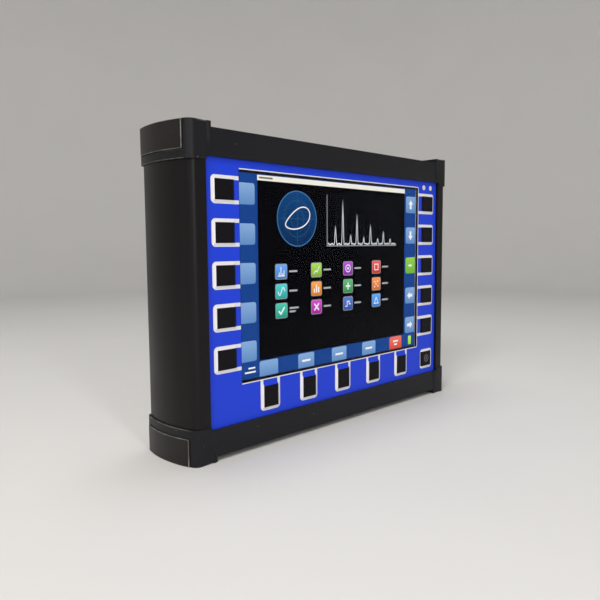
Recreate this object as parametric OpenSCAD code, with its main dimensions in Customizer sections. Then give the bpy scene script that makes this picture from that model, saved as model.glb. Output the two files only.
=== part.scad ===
// Portable vibration meter with a wide display, laid out in millimetres.
// The origin is the middle of the underside, X runs to the right, Y to the rear and Z up.
// The keys and the display face -Y. An extruded tube stands between two end caps.

/* [Overall] */
// Width over the corner inserts
device_w = 280; // [240:1:330]
// Height over the corner blocks
device_h = 205; // [175:1:250]
// Depth over the corner blocks
device_d = 55; // [52:1:66]
// Radius of the bulging side faces
side_r = 77; // [70:1:95]
// Radius of the upright corners
corner_r = 5.5; // [4:0.5:7]

/* [End caps] */
// Height of a corner block
block_h = 22.5; // [21.5:0.5:26]
// Width of a corner block's front face and bulge together
block_w = 21.3; // [20:0.1:24]
// Height of the bar between two corner blocks
bar_h = 16.8; // [15.5:0.1:18]
// Distance from a block's end face to the bar
bar_gap = 3.3; // [2:0.1:4]
// Distance that the bar stands behind the block's face
bar_setback = 0.7; // [0.4:0.1:1.2]
// Wall of a corner block beside the open well
well_end_wall = 5.7; // [3:0.1:10]
// Wall of the bars beside the open well
well_wall = 6.8; // [5:0.1:9]
// Clearance between a cap and the tube that it takes
cap_fit = 0.15; // [0.1:0.05:0.25]

/* [Corner inserts] */
// Height of an insert
insert_h = 17; // [14:0.5:18]
// Thickness of an insert
insert_t = 1.4; // [1.1:0.1:1.6]
// Height that an insert stands proud of its block
insert_proud = 0.8; // [0.6:0.1:1]
// Distance from the block's face to the edge of an insert
insert_margin = 5; // [4:0.5:8]
// Groove round an insert
insert_groove = 0.4; // [0.3:0.1:0.6]
// Radius of an insert's pegs
peg_r = 1.5; // [1:0.1:2]
// Length of an insert's pegs
peg_length = 4; // [2:0.5:5]
// Distance between the two pegs of an insert
peg_pitch = 16; // [12:1:18]

/* [Tube] */
// Distance that the tube's side lies inside the insert's side
tube_side_inset = 2.2; // [2.1:0.1:2.6]
// Distance that the tube's front lies behind the block's face
tube_face_inset = 0.8; // [0.7:0.1:1.2]
// Distance from the end of the object to the end of the tube
tube_end = 17.5; // [16.5:0.1:18.5]
// Wall of the tube
tube_wall = 2.5; // [2:0.1:3]
// Distance from the insert's side to the flat recess in the front and the back
rim_w = 17.5; // [16.5:0.1:19]
// Depth of that recess
recess_depth = 2.7; // [2.4:0.1:3]
// Distance from the insert's side to a screw channel
channel_side = 10; // [9:0.5:11]
// Distance from the block's face to a screw channel
channel_depth = 11.5; // [10.5:0.5:13]
// Outer radius of a screw channel
channel_r = 4.5; // [4:0.1:5]
// Thickness of a board rail
rail_t = 1.5; // [1:0.1:2]
// Distance from the insert's side to the inner edge of a rail
rail_side = 10.5; // [10:0.1:12]

/* [End plates] */
// Thickness of an end plate
plate_t = 2; // [1.5:0.1:2.4]
// Thickness of a seal
seal_t = 0.8; // [0.6:0.1:1]
// Distance from the tube's outline to the edge of a plate or seal
plate_margin = 0.3; // [0.2:0.05:0.5]
// Radius of a cap screw's shank
cap_screw_r = 2; // [1.5:0.1:2.2]
// Radius of a cap screw's head
cap_screw_head_r = 3.5; // [3:0.1:3.7]
// Height of a cap screw's head
cap_screw_head_h = 4; // [3:0.1:4.5]
// Length of a cap screw under its head
cap_screw_length = 20; // [16:1:26]
// Thickness of cap under a screw's head
cap_seat_t = 5; // [4:0.5:6]
// Clearance round a screw's shank in a plain hole
hole_clearance = 0.2; // [0.1:0.05:0.4]
// Clearance round a screw in the thread that holds it
thread_clearance = 0.05; // [0.03:0.01:0.08]

/* [Keypad] */
// Thickness of the printed overlay
overlay_t = 0.8; // [0.5:0.1:1]
// Gap round the overlay
overlay_gap = 0.2; // [0.1:0.05:0.4]
// Distance from the tube's end to the overlay's edge
overlay_margin = 1; // [0.5:0.1:2]
// Number of keys in each row and column
key_count = 5; // [3:1:5]
// Distance from the window's top edge to the middle of the first side key
side_key_drop = 12.6; // [10:0.1:14]
// Distance from the window's lower edge to the middle of the last side key
side_key_rise = 16.9; // [15:0.1:18]
// Distance from the insert's side to the middle of the side keys
side_key_side = 30.9; // [30.4:0.1:31]
// Distance from the window's side edges to the outer bottom keys
bottom_key_end = 23.15; // [20:0.05:26]
// Gap between the window and the flat top of a bottom key
bottom_key_gap = 5.3; // [5:0.1:5.6]
// Width of a side key's flat top
side_key_w = 13.4; // [12:0.1:13.6]
// Height of a side key's flat top
side_key_h = 12.3; // [11:0.1:13]
// Width of a bottom key's flat top
bottom_key_w = 12.4; // [11:0.1:13]
// Height of a bottom key's flat top
bottom_key_h = 14; // [12:0.1:14.2]
// Size of the power key's flat top
power_key_size = 12.4; // [11:0.1:13]
// Width of the sloped flank round a key's top
key_slope = 1.5; // [1:0.1:1.6]
// Height of a key's top over the overlay
key_rise = 0.9; // [0.6:0.1:1.2]
// Gap round a key
key_gap = 0.25; // [0.2:0.05:0.35]
// Width of the flange that keeps a key in
key_flange = 0.9; // [0.6:0.1:1]
// Thickness of that flange
key_flange_t = 1; // [0.8:0.1:1.2]
// Play between the flange and the wall at rest
key_play = 0.1; // [0.05:0.05:0.2]
// Distance that a key travels
key_travel = 0.6; // [0.3:0.1:0.6]

/* [Switches and lamps] */
// Width of a switch
switch_w = 6.2; // [5:0.1:7]
// Height of a switch's housing
switch_h = 3.5; // [3:0.1:4]
// Radius of a switch's plunger
plunger_r = 1.75; // [1.4:0.05:2]
// Height of the plunger over the housing
plunger_out = 0.8; // [0.7:0.1:1]
// Length of the plunger inside the housing
plunger_in = 1.2; // [1:0.1:1.5]
// Clearance round the plunger
plunger_fit = 0.06; // [0.04:0.01:0.09]
// Radius of a lamp lens
lens_r = 2.2; // [1.8:0.1:2.5]
// Distance between the two lamp lenses
lens_pitch = 9.8; // [8:0.1:11]
// Height of the lenses above the window's top edge
lens_rise = 1.1; // [0.8:0.1:1.6]
// Width of a lens flange
lens_flange = 0.7; // [0.5:0.1:1]
// Height of a lamp
lamp_h = 1; // [0.8:0.1:1.5]
// Width of a lamp
lamp_w = 2.8; // [2:0.1:3]

/* [Display] */
// Distance from the left insert to the display window
window_left = 43.5; // [43:0.1:46]
// Distance from the right insert to the display window
window_right = 45; // [43:0.1:47]
// Distance from the top of the object to the display window
window_head = 26.2; // [26:0.1:28]
// Distance from the foot of the object to the display window
window_foot = 45.3; // [45:0.1:47]
// Thickness of the display window
window_t = 2; // [1.6:0.1:2.2]
// Width of the ledge that carries the window
window_ledge = 1; // [0.8:0.1:1.5]
// Gap round the window
window_gap = 0.15; // [0.1:0.05:0.3]
// Thickness of the bond between the window and the display
bond_t = 0.1; // [0.05:0.05:0.2]
// Gap round the display in the wall
display_gap = 0.5; // [0.3:0.1:0.8]
// Thickness of the display
display_t = 4; // [3.5:0.1:4.2]
// Width of the tray's rim round the display
tray_rim = 3.2; // [3:0.1:3.4]
// Thickness of the display gasket
gasket_t = 0.6; // [0.4:0.1:1]

/* [Boards] */
// Thickness of every board
board_t = 1.6; // [1.2:0.1:1.8]
// Distance from the recess's side to the keypad board
keypad_board_side = 2.5; // [1.5:0.1:4]
// Distance from the tube's end to the keypad board
keypad_board_margin = 3; // [2:0.5:4]
// Overlap of the keypad board on the display tray
tray_overlap = 3; // [2:0.5:5]
// Radius of a stud's shoulder
stud_shoulder_r = 2.5; // [2:0.1:2.8]
// Radius of a stud's thread
stud_r = 1.25; // [1:0.05:1.5]
// Thickness of a stud's nut
nut_t = 2; // [1.6:0.1:2.4]
// Radius over the corners of a stud's nut
nut_corner_r = 2.9; // [2.6:0.1:3.2]
// Distance from the middle to the front of the main board, towards the front
main_board_front = 4; // [3:0.5:5]
// Distance from the insert's side to the main board
main_board_side = 8.5; // [8:0.1:9.5]
// Distance from the tube's lower end to the main board
main_board_foot = 3; // [2:0.5:5]
// Distance from the top of the object to the main board
main_board_head = 33.5; // [32.5:0.5:38]
// Gap between a board and its rail
rail_gap = 0.15; // [0.1:0.05:0.25]
// Distance from the middle to the front of the input board
input_board_front = 5.5; // [5.5:0.1:6.5]
// Distance from the recess's side to the input board
input_board_side = 12.5; // [9:0.5:14]
// Gap between the battery tray and the input board
input_board_foot = 14.3; // [12:0.1:18]
// Gap between the top plate and the input board
input_board_gap = 5; // [4:0.5:6]
// Distance from the input board's side to a standoff
standoff_side = 12; // [8:0.5:16]
// Distance from the input board's upper edge to the upper standoffs
standoff_head = 20; // [18:0.5:22]
// Distance from the input board's lower edge to the lower standoffs
standoff_foot = 6; // [5:0.5:8]
// Radius over the corners of a standoff
standoff_corner_r = 2.9; // [2.6:0.1:3.2]
// Radius of a board screw's shank
board_screw_r = 1.25; // [1:0.05:1.4]
// Radius of a board screw's head
board_screw_head_r = 2.4; // [2:0.1:2.8]
// Height of a board screw's head
board_screw_head_h = 1.6; // [1.2:0.1:2]
// Length of a board screw in the standoff
board_screw_grip = 3; // [2:0.5:3.5]

/* [Battery] */
// Width of the battery pack
battery_w = 130; // [110:1:150]
// Height of the battery pack
battery_h = 70; // [60:1:74]
// Thickness of the battery pack
battery_t = 16; // [14:0.5:17]
// Height of the pack's lower edge above the tube's lower end
battery_foot = 8; // [6:0.5:10]
// Thickness of the battery tray's sheet
tray_sheet = 1.2; // [1:0.1:1.5]
// Height of the battery tray's walls
tray_wall_h = 10; // [6:0.5:12]
// Gap round the battery pack
battery_gap = 0.3; // [0.2:0.05:0.5]

/* [Connectors] */
// Number of coaxial jacks
bnc_count = 5; // [2:1:5]
// Outer radius of a coaxial jack's shell
bnc_shell_r = 4.83; // [4.8:0.01:4.86]
// Inner radius of that shell
bnc_shell_bore_r = 4.1; // [4:0.05:4.2]
// Radius of the threaded barrel
bnc_barrel_r = 6.3; // [6:0.1:6.5]
// Height of a shell over the plate
bnc_h = 11; // [10:0.1:12]
// Radius over the corners of a jack's hexagon
bnc_hex_r = 8; // [7.6:0.1:8.4]
// Thickness of a jack's hexagon
bnc_hex_t = 2.4; // [2:0.1:3]
// Thickness of a jack's nut
bnc_nut_t = 2.2; // [1.8:0.1:2.6]
// Radius of a bayonet lug
bnc_lug_r = 0.95; // [0.8:0.05:1.1]
// Distance that a lug stands out of the shell
bnc_lug_out = 0.75; // [0.6:0.05:0.9]
// Length of a jack's tail under the plate
bnc_tail = 8; // [7:0.5:9]
// Outer radius of a jack's insulator
bnc_insulator_r = 2.4; // [2.2:0.1:2.6]
// Radius of a jack's centre contact
bnc_contact_r = 1; // [0.8:0.05:1.1]
// Radius of the audio jack's bore
audio_bore_r = 1.8; // [1.77:0.01:1.85]
// Radius of the audio jack's nose
audio_nose_r = 3; // [2.8:0.1:3.4]
// Radius of the power jack's bore
power_bore_r = 3; // [2.8:0.1:3.2]
// Radius of the power jack's nose
power_nose_r = 4.6; // [4.2:0.1:5]
// Radius of the power jack's centre pin
power_pin_r = 1.05; // [0.95:0.05:1.2]
// Height of a socket's nose over the plate
nose_out = 1.2; // [0.8:0.1:2]
// Clearance round what passes through the plate
nose_clearance = 0.15; // [0.1:0.05:0.3]

/* [Hidden] */
bnc_names = ["bnc_jacks", "bnc_nuts", "bnc_insulators", "bnc_contacts"];
key_sides = ["left", "right", "bottom"];
key_names = [for (side = key_sides) for (i = [1:key_count]) str("key_", side, "_", i)];
case_names = [
    "housing_profile", "top_end_cap", "bottom_end_cap", "top_left_insert", "top_right_insert",
    "bottom_left_insert", "bottom_right_insert", "top_seal", "bottom_seal", "connector_plate",
    "bottom_plate", "cap_screws"
];
front_names = [
    "keypad_overlay", "display_window", "display_gasket", "display_panel", "display_tray",
    "keypad_board", "keypad_studs", "keypad_nuts", "switch_bodies", "led_lenses", "status_leds"
];
inner_names = [
    "main_board", "processor_cover", "coin_cell", "memory_card", "input_board", "input_shield",
    "board_standoffs", "board_screws", "battery_tray", "battery_pack", "battery_lead",
    "display_ribbon", "keypad_ribbon"
];
socket_names = ["audio_jack", "usb_a_socket", "usb_mini_socket", "power_jack"];

// Fineness of round parts and of the outline's arcs
$fn = 48;
corner_steps = 6;
side_steps = 14;
// Overrun of cuts
over = 0.5;

// The stack from the front face towards the rear
block_face_y = -device_d / 2;
bar_half_d = device_d / 2 - bar_setback;
channel_y = device_d / 2 - channel_depth;
well_d = 2 * (bar_half_d - well_wall);
tube_half_d = device_d / 2 - tube_face_inset;
panel_y = -tube_half_d + recess_depth;
panel_back_y = panel_y + tube_wall;
overlay_y = panel_y - overlay_t;
window_back_y = overlay_y + window_t;
display_y = window_back_y + bond_t;
display_back_y = display_y + display_t;
tray_y = panel_back_y + gasket_t;
flange_y = panel_back_y + key_play;
plunger_y = flange_y + key_flange_t;
switch_y = plunger_y + plunger_out;
keypad_y = switch_y + switch_h;
keypad_back_y = keypad_y + board_t;
main_y = -main_board_front;
main_back_y = main_y + board_t;
input_y = input_board_front;
input_back_y = input_y + board_t;
rear_wall_y = tube_half_d - recess_depth - tube_wall;

// Side radii of the nested outlines, all about one centre
side_centre_x = device_w / 2 - side_r;
block_side_r = side_r - insert_proud;
insert_floor_r = side_r - insert_t;
tube_side_r = side_r - tube_side_inset;

// Heights
mid_z = device_h / 2;
tube_top = device_h - tube_end;
tube_h = tube_top - tube_end;
plate_z = tube_end - seal_t - plate_t;
connector_z = device_h - plate_z;
connector_back_z = connector_z - plate_t;
bar_top = bar_gap + bar_h;
window_top = device_h - window_head;
window_h = window_top - window_foot;
window_z = window_foot + window_h / 2;
side_key_top = window_top - side_key_drop;
side_key_low = window_foot + side_key_rise;
side_key_pitch = (side_key_top - side_key_low) / (key_count - 1);
bottom_key_z = window_foot - bottom_key_gap - bottom_key_h / 2;
lens_z = window_top + lens_rise;

// Faces across
block_in_x = device_w / 2 - block_w;
well_w = 2 * (block_in_x - well_end_wall);
recess_w = device_w - 2 * rim_w;
channel_x = device_w / 2 - channel_side;
rail_x = device_w / 2 - rail_side;
window_w = device_w - window_left - window_right;
window_x = (window_left - window_right) / 2;
side_key_x = device_w / 2 - side_key_side;
bottom_key_pitch = (window_w - 2 * bottom_key_end) / (key_count - 1);
keypad_board_w = recess_w - 2 * keypad_board_side;
main_board_w = device_w - 2 * main_board_side;
input_board_w = recess_w - 2 * input_board_side;

// Places of the sockets along the connector plate, as shares of the well's width
bnc_first_share = -0.416;
bnc_pitch_share = 0.115;
audio_share = 0.15;
usb_mini_share = 0.226;
usb_a_share = 0.314;
power_share = 0.416;
audio_x = audio_share * well_w;
usb_mini_x = usb_mini_share * well_w;
usb_a_x = usb_a_share * well_w;
power_x = power_share * well_w;

// Sizes of what fills the window and lies behind it
opening_w = window_w - 2 * window_ledge;
opening_h = window_h - 2 * window_ledge;
display_w = opening_w - 2 * display_gap;
display_h = opening_h - 2 * display_gap;
tray_w = display_w + 2 * tray_rim;
tray_h = display_h + 2 * tray_rim;
tray_fit = 0.2;

// Heights of the battery and the boards
battery_z = tube_end + battery_foot + battery_h / 2;
battery_back_y = rear_wall_y - tray_sheet;
battery_tray_h = battery_h + 2 * (battery_gap + tray_sheet);
keypad_board_z = tube_end + keypad_board_margin;
keypad_board_h = tube_h - 2 * keypad_board_margin;
main_board_z = tube_end + main_board_foot;
main_board_h = device_h - main_board_head - main_board_z;
input_board_z = battery_z + battery_tray_h / 2 + input_board_foot;
input_board_h = connector_back_z - input_board_gap - input_board_z;

// Gap between two separate pieces that touch
touch_gap = 0.05;

// Small parts of the boards
board_hole_r = board_screw_r + hole_clearance;
stud_hole_r = stud_r + hole_clearance;
stud_end = 0.3;
processor_w = 42;
processor_h = 34;
processor_t = 3;
coin_r = 6;
coin_t = 2.1;
card_w = 15;
card_h = 12;
card_t = 1.5;
shield_w = 120;
shield_h = 30;
shield_foot = 6;
shield_t = 5;
shield_sheet = 0.5;
ribbon_w = 24;
ribbon_t = 0.3;
ribbon_leg = 9;
keypad_ribbon_w = 14;
keypad_ribbon_side = 25;
display_ribbon_drop = 28;
lead_plug_w = 8;
lead_plug_h = 6;
lead_plug_t = 5;
lead_wire_r = 0.8;
lead_wire_pitch = 2.6;
lead_reach = 6;

// Small parts of the sockets
bnc_tail_r = 4;
bnc_contact_tail = 3;
bnc_shell_floor = 1.5;
bnc_lug_drop = 2.2;
bnc_insulator_drop = 2;
bnc_contact_bore_r = 0.5;
bnc_contact_depth = 3;
socket_depth = 14;
audio_w = 8;
power_w = 11;
power_floor = 2;
usb_a_w = 13.2;
usb_a_t = 5.8;
usb_mini_w = 7.8;
usb_mini_t = 4;
usb_sheet = 0.4;
usb_floor = 2;
usb_tongue_t = 1.6;
usb_tongue_gap = 0.7;

// A round stretch of an outline, without its first and last points where asked
function arc(cx, cy, r, from, to, steps, skip = 0) =
    [for (i = [skip:steps - skip]) let (a = from + (to - from) * i / steps) [cx + r * cos(a), cy + r * sin(a)]];

// The right-hand half of a slab with a bulging side and rounded corners
function slab_half(half_d, rs, rc) =
    let (
        cy = half_d - rc,
        cx = side_centre_x + sqrt(pow(rs - rc, 2) - pow(cy, 2)),
        meet = atan2(cy, cx - side_centre_x)
    )
    concat(
        arc(cx, cy, rc, 90, meet, corner_steps),
        arc(side_centre_x, 0, rs, meet, -meet, side_steps, 1),
        arc(cx, -cy, rc, -meet, -90, corner_steps)
    );

// The whole outline of such a slab, seen from above
module slab_outline(half_d, rs, rc) {
    half = slab_half(half_d, rs, rc);
    last = len(half) - 1;
    polygon(concat(half, [for (i = [last:-1:0]) [-half[i][0], half[i][1]]]));
}

// The tube's outline, grown by a clearance, with its front and back recesses
module tube_outline(grow, face_y) {
    difference() {
        slab_outline(tube_half_d + grow, tube_side_r + grow, corner_r);
        for (turn = [-1, 1])
            translate([0, turn * (-face_y + device_d / 2)])
                square([recess_w - 2 * grow, device_d], center = true);
    }
}

// The tube's cavity
module tube_cavity() {
    difference() {
        slab_outline(tube_half_d - tube_wall, tube_side_r - tube_wall, corner_r - tube_wall / 2);
        for (turn = [-1, 1])
            translate([0, turn * (-panel_back_y + device_d / 2)])
                square([recess_w + 2 * tube_wall, device_d], center = true);
    }
}

// A box given by its middle across and upwards, its size and its two faces in depth
module slice(x, z, w, h, front, back) {
    translate([x - w / 2, front, z - h / 2]) cube([w, back - front, h]);
}

// A rod along Y between two faces
module rod_y(x, z, r, front, back, sides = $fn) {
    translate([x, front, z]) rotate([-90, 0, 0]) cylinder(h = back - front, r = r, $fn = sides);
}

// A rod along Z between two heights
module rod_z(x, y, r, low, high, sides = $fn) {
    translate([x, y, low]) cylinder(h = high - low, r = r, $fn = sides);
}

// Places of the keys: sideways, upwards, width and height of the flat top
function key_place(side, i) =
    side == "bottom"
        ? [(i - (key_count + 1) / 2) * bottom_key_pitch, bottom_key_z, bottom_key_w, bottom_key_h]
        : [(side == "left" ? -1 : 1) * side_key_x, side_key_top - (i - 1) * side_key_pitch,
            side_key_w, side_key_h];
power_place = [side_key_x, bottom_key_z, power_key_size, power_key_size];
key_places = concat(
    [for (side = key_sides) for (i = [1:key_count]) key_place(side, i)],
    [power_place]
);
lens_places = [for (turn = [-1, 1]) [side_key_x + turn * lens_pitch / 2, lens_z]];

// Places of the studs: above and below the left keys, under the right keys, between the bottom keys
stud_places = concat(
    [[-side_key_x, lens_z], [-side_key_x, bottom_key_z], [side_key_x, (side_key_low + bottom_key_z) / 2]],
    [for (step = [1:key_count - 1]) [(step - key_count / 2) * bottom_key_pitch, bottom_key_z]]
);
screw_places = [for (x = [-1, 1]) for (y = [-1, 1]) [x * channel_x, y * channel_y]];
standoff_places = [
    for (x = [-1, 1]) for (z = [input_board_z + standoff_foot, input_board_z + input_board_h - standoff_head])
        [x * (input_board_w / 2 - standoff_side), z]
];
bnc_places = [for (i = [0:bnc_count - 1]) (bnc_first_share + i * bnc_pitch_share) * well_w];

// All that is cut through the front wall and the overlay
module front_cuts(front, back) {
    for (p = key_places)
        slice(p[0], p[1], p[2] + 2 * (key_slope + key_gap), p[3] + 2 * (key_slope + key_gap), front, back);
    for (p = lens_places) rod_y(p[0], p[1], lens_r + key_gap, front, back);
}

// A rail beside the main board, on the side given by turn and before or behind the board
module board_rail(turn, side) {
    y = main_y + board_t / 2 + side * (board_t / 2 + rail_gap + rail_t / 2);
    intersection() {
        translate([turn * (rail_x + device_w / 2), y, mid_z])
            cube([device_w, rail_t, tube_h], center = true);
        translate([0, 0, tube_end]) linear_extrude(tube_h) slab_outline(tube_half_d, tube_side_r - over, corner_r);
    }
}

module housing_profile() {
    color("#1d1d1f")
    difference() {
        union() {
            translate([0, 0, tube_end]) linear_extrude(tube_h) difference() {
                tube_outline(0, panel_y);
                tube_cavity();
            }
            for (p = screw_places) rod_z(p[0], p[1], channel_r, tube_end, tube_top);
            for (turn = [-1, 1]) for (side = [-1, 1]) board_rail(turn, side);
        }
        for (p = screw_places)
            rod_z(p[0], p[1], cap_screw_r + thread_clearance, tube_end - over, tube_top + over);
        front_cuts(panel_y - over, panel_back_y + over);
        slice(window_x, window_z, opening_w, opening_h, panel_y - over, panel_back_y + over);
        slice(window_x, window_z, window_w + 2 * window_gap, window_h + 2 * window_gap,
            panel_y - over, window_back_y);
    }
}

// An end cap with its outer end on the floor and the tube's pocket above
module end_cap() {
    color("#2b2b2d")
    difference() {
        union() {
            difference() {
                linear_extrude(block_h) slab_outline(device_d / 2, block_side_r, corner_r);
                slice(0, 0, 2 * block_in_x, device_h, block_face_y - over, device_d / 2 + over);
                slice(0, bar_top + device_h / 2, recess_w, device_h, block_face_y - over, device_d / 2 + over);
            }
            slice(0, bar_gap + bar_h / 2, 2 * block_in_x + 2 * over, bar_h, -bar_half_d, bar_half_d);
        }
        translate([0, 0, plate_z]) linear_extrude(device_h) tube_outline(cap_fit, overlay_y - cap_fit);
        translate([0, 0, plate_z / 2]) cube([well_w, well_d, plate_z + 2 * over], center = true);
        for (p = screw_places) {
            rod_z(p[0], p[1], cap_screw_r + hole_clearance, -over, plate_z + over);
            rod_z(p[0], p[1], cap_screw_head_r + hole_clearance, -over, plate_z - cap_seat_t);
        }
        for (turn = [0, 1]) mirror([turn, 0, 0]) insert_shape(thread_clearance, insert_groove, over);
    }
}

// An insert's body and pegs on the right-hand block, with room to spare where it is used as a cut
module insert_shape(floor_gap, groove, outer) {
    reach = asin((device_d / 2 - insert_margin) / side_r);
    edge = device_d / 2 - insert_margin + groove;
    low = -outer;
    translate([0, 0, low]) linear_extrude(insert_h + groove - low) intersection() {
        polygon(concat(
            arc(side_centre_x, 0, side_r + outer, -2 * reach, 2 * reach, 2 * side_steps),
            arc(side_centre_x, 0, insert_floor_r - floor_gap, 2 * reach, -2 * reach, 2 * side_steps)
        ));
        translate([side_centre_x, -edge]) square([2 * side_r, 2 * edge]);
    }
    for (turn = [-1, 1])
        translate([side_centre_x, turn * peg_pitch / 2, insert_h / 2]) rotate([0, 90, 0])
            translate([0, 0, insert_floor_r - peg_length - floor_gap])
                cylinder(h = peg_length + floor_gap, r = peg_r + floor_gap);
}

// An insert, set on the left or right block
module corner_insert(turn) {
    color("#3a3938")
    mirror([turn < 0 ? 1 : 0, 0, 0]) insert_shape(0, 0, 0);
}

// A part of the bottom end, turned over to the top end
module at_top() {
    translate([0, 0, device_h]) mirror([0, 0, 1]) children();
}

module top_end_cap() { at_top() end_cap(); }
module bottom_end_cap() { end_cap(); }
module top_left_insert() { at_top() corner_insert(-1); }
module top_right_insert() { at_top() corner_insert(1); }
module bottom_left_insert() { corner_insert(-1); }
module bottom_right_insert() { corner_insert(1); }

// The seal between the tube's end and a plate
module end_seal() {
    color("#161616")
    translate([0, 0, tube_end - seal_t]) linear_extrude(seal_t) difference() {
        tube_outline(-plate_margin, panel_y + plate_margin);
        tube_cavity();
    }
}

module top_seal() { at_top() end_seal(); }
module bottom_seal() { end_seal(); }

// A plate that closes one end of the tube
module end_plate() {
    difference() {
        translate([0, 0, plate_z]) linear_extrude(plate_t)
            tube_outline(-plate_margin, panel_y + plate_margin);
        for (p = screw_places)
            rod_z(p[0], p[1], cap_screw_r + hole_clearance, plate_z - over, tube_end + over);
    }
}

module bottom_plate() { color("#303133") end_plate(); }

module connector_plate() {
    low = connector_back_z - over;
    high = connector_z + over;
    color("#303133")
    difference() {
        at_top() end_plate();
        for (x = bnc_places) rod_z(x, 0, bnc_barrel_r + nose_clearance, low, high);
        rod_z(audio_x, 0, audio_nose_r + nose_clearance, low, high);
        rod_z(power_x, 0, power_nose_r + nose_clearance, low, high);
        usb_cut(usb_a_x, usb_a_w, usb_a_t, low, high);
        usb_cut(usb_mini_x, usb_mini_w, usb_mini_t, low, high);
    }
}

// The hole that a data socket's nose passes
module usb_cut(x, w, t, low, high) {
    translate([x - w / 2 - nose_clearance, -t / 2 - nose_clearance, low])
        cube([w + 2 * nose_clearance, t + 2 * nose_clearance, high - low]);
}

module cap_screw() {
    seat = plate_z - cap_seat_t;
    socket_r = cap_screw_head_r / 2;
    difference() {
        union() {
            rod_z(0, 0, cap_screw_head_r, seat - cap_screw_head_h, seat);
            rod_z(0, 0, cap_screw_r, seat - over, seat + cap_screw_length);
        }
        rod_z(0, 0, socket_r, seat - cap_screw_head_h - over, seat - cap_screw_head_h / 2, 6);
    }
}

module cap_screws() {
    color("#8d8f93") {
        for (p = screw_places) translate(p) cap_screw();
        at_top() for (p = screw_places) translate(p) cap_screw();
    }
}

module keypad_overlay() {
    z = tube_end + overlay_margin;
    color("#2644cd")
    difference() {
        slice(0, mid_z, recess_w - 2 * overlay_gap, device_h - 2 * z, overlay_y, panel_y);
        front_cuts(overlay_y - over, panel_y + over);
        slice(window_x, window_z, window_w + 2 * window_gap, window_h + 2 * window_gap,
            overlay_y - over, panel_y + over);
    }
}

module display_window() {
    color("#a8c4dd", 0.5)
    slice(window_x, window_z, window_w, window_h, overlay_y, window_back_y);
}

module display_gasket() {
    color("#141414")
    difference() {
        slice(window_x, window_z, tray_w, tray_h, panel_back_y, tray_y);
        slice(window_x, window_z, opening_w, opening_h, panel_back_y - over, tray_y + over);
    }
}

module display_panel() {
    color("#183470")
    slice(window_x, window_z, display_w, display_h, display_y, display_back_y);
}

module display_tray() {
    color("#a5a8ab")
    difference() {
        slice(window_x, window_z, tray_w, tray_h, tray_y, keypad_y);
        slice(window_x, window_z, display_w + 2 * tray_fit, display_h + 2 * tray_fit,
            tray_y - over, display_back_y);
    }
}

module keypad_board() {
    color("#1f5a34")
    difference() {
        slice(0, keypad_board_z + keypad_board_h / 2, keypad_board_w, keypad_board_h, keypad_y, keypad_back_y);
        slice(window_x, window_z, tray_w - 2 * tray_overlap, tray_h - 2 * tray_overlap,
            keypad_y - over, keypad_back_y + over);
        for (p = stud_places) rod_y(p[0], p[1], stud_hole_r, keypad_y - over, keypad_back_y + over);
    }
}

module keypad_studs() {
    color("#9b9da0")
    for (p = stud_places) {
        rod_y(p[0], p[1], stud_shoulder_r, panel_back_y, keypad_y);
        rod_y(p[0], p[1], stud_r, keypad_y - over, keypad_back_y + nut_t + stud_end);
    }
}

module keypad_nuts() {
    color("#b3b5b8")
    for (p = stud_places) difference() {
        rod_y(p[0], p[1], nut_corner_r, keypad_back_y, keypad_back_y + nut_t, 6);
        rod_y(p[0], p[1], stud_r + thread_clearance, keypad_back_y - over, keypad_back_y + nut_t + over);
    }
}

module switch_bodies() {
    color("#26282b")
    for (p = key_places) difference() {
        slice(p[0], p[1], switch_w, switch_w, switch_y, keypad_y);
        rod_y(p[0], p[1], plunger_r + plunger_fit, switch_y - over,
            switch_y + plunger_in + key_travel + key_play);
    }
}

module led_lenses() {
    color("#eef0ee")
    for (p = lens_places) {
        rod_y(p[0], p[1], lens_r, overlay_y - key_play, panel_back_y + key_flange_t);
        rod_y(p[0], p[1], lens_r + lens_flange, panel_back_y, panel_back_y + key_flange_t);
        rod_y(p[0], p[1], lens_r / 2, panel_back_y, keypad_y - lamp_h - key_play);
    }
}

module status_leds() {
    color("#f3e9a0")
    for (p = lens_places) slice(p[0], p[1], lamp_w, lamp_w, keypad_y - lamp_h, keypad_y);
}

// A key with its sloped flank, its flange and the plunger under it
module key(p) {
    base_w = p[2] + 2 * key_slope;
    base_h = p[3] + 2 * key_slope;
    skin = key_rise / 10;
    color("#1a1b1d") {
        hull() {
            slice(p[0], p[1], p[2], p[3], overlay_y - key_rise, overlay_y);
            slice(p[0], p[1], base_w, base_h, overlay_y - skin, overlay_y);
        }
        slice(p[0], p[1], base_w, base_h, overlay_y, plunger_y);
        slice(p[0], p[1], base_w + 2 * key_flange, base_h + 2 * key_flange, flange_y, plunger_y);
    }
    color("#c9cbce") rod_y(p[0], p[1], plunger_r, plunger_y + touch_gap, switch_y + plunger_in);
}

module key_power() { key(power_place); }

module main_board() {
    color("#1f5a34")
    difference() {
        slice(0, main_board_z + main_board_h / 2, main_board_w, main_board_h, main_y, main_back_y);
        for (p = standoff_places) rod_y(p[0], p[1], board_hole_r, main_y - over, main_back_y + over);
    }
}

module processor_cover() {
    color("#b9bcbf")
    slice(-main_board_w / 6, window_z, processor_w, processor_h, main_y - processor_t, main_y);
}

module coin_cell() {
    color("#c8cacc")
    rod_y(main_board_w / 8, main_board_z + 2 * coin_r, coin_r, main_y - coin_t, main_y);
}

module memory_card() {
    color("#222326")
    slice(-main_board_w / 4, main_board_z + card_h, card_w, card_h, main_y - card_t, main_y);
}

module input_board() {
    color("#1d4f6a")
    difference() {
        slice(0, input_board_z + input_board_h / 2, input_board_w, input_board_h, input_y, input_back_y);
        for (p = standoff_places) rod_y(p[0], p[1], board_hole_r, input_y - over, input_back_y + over);
    }
}

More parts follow.
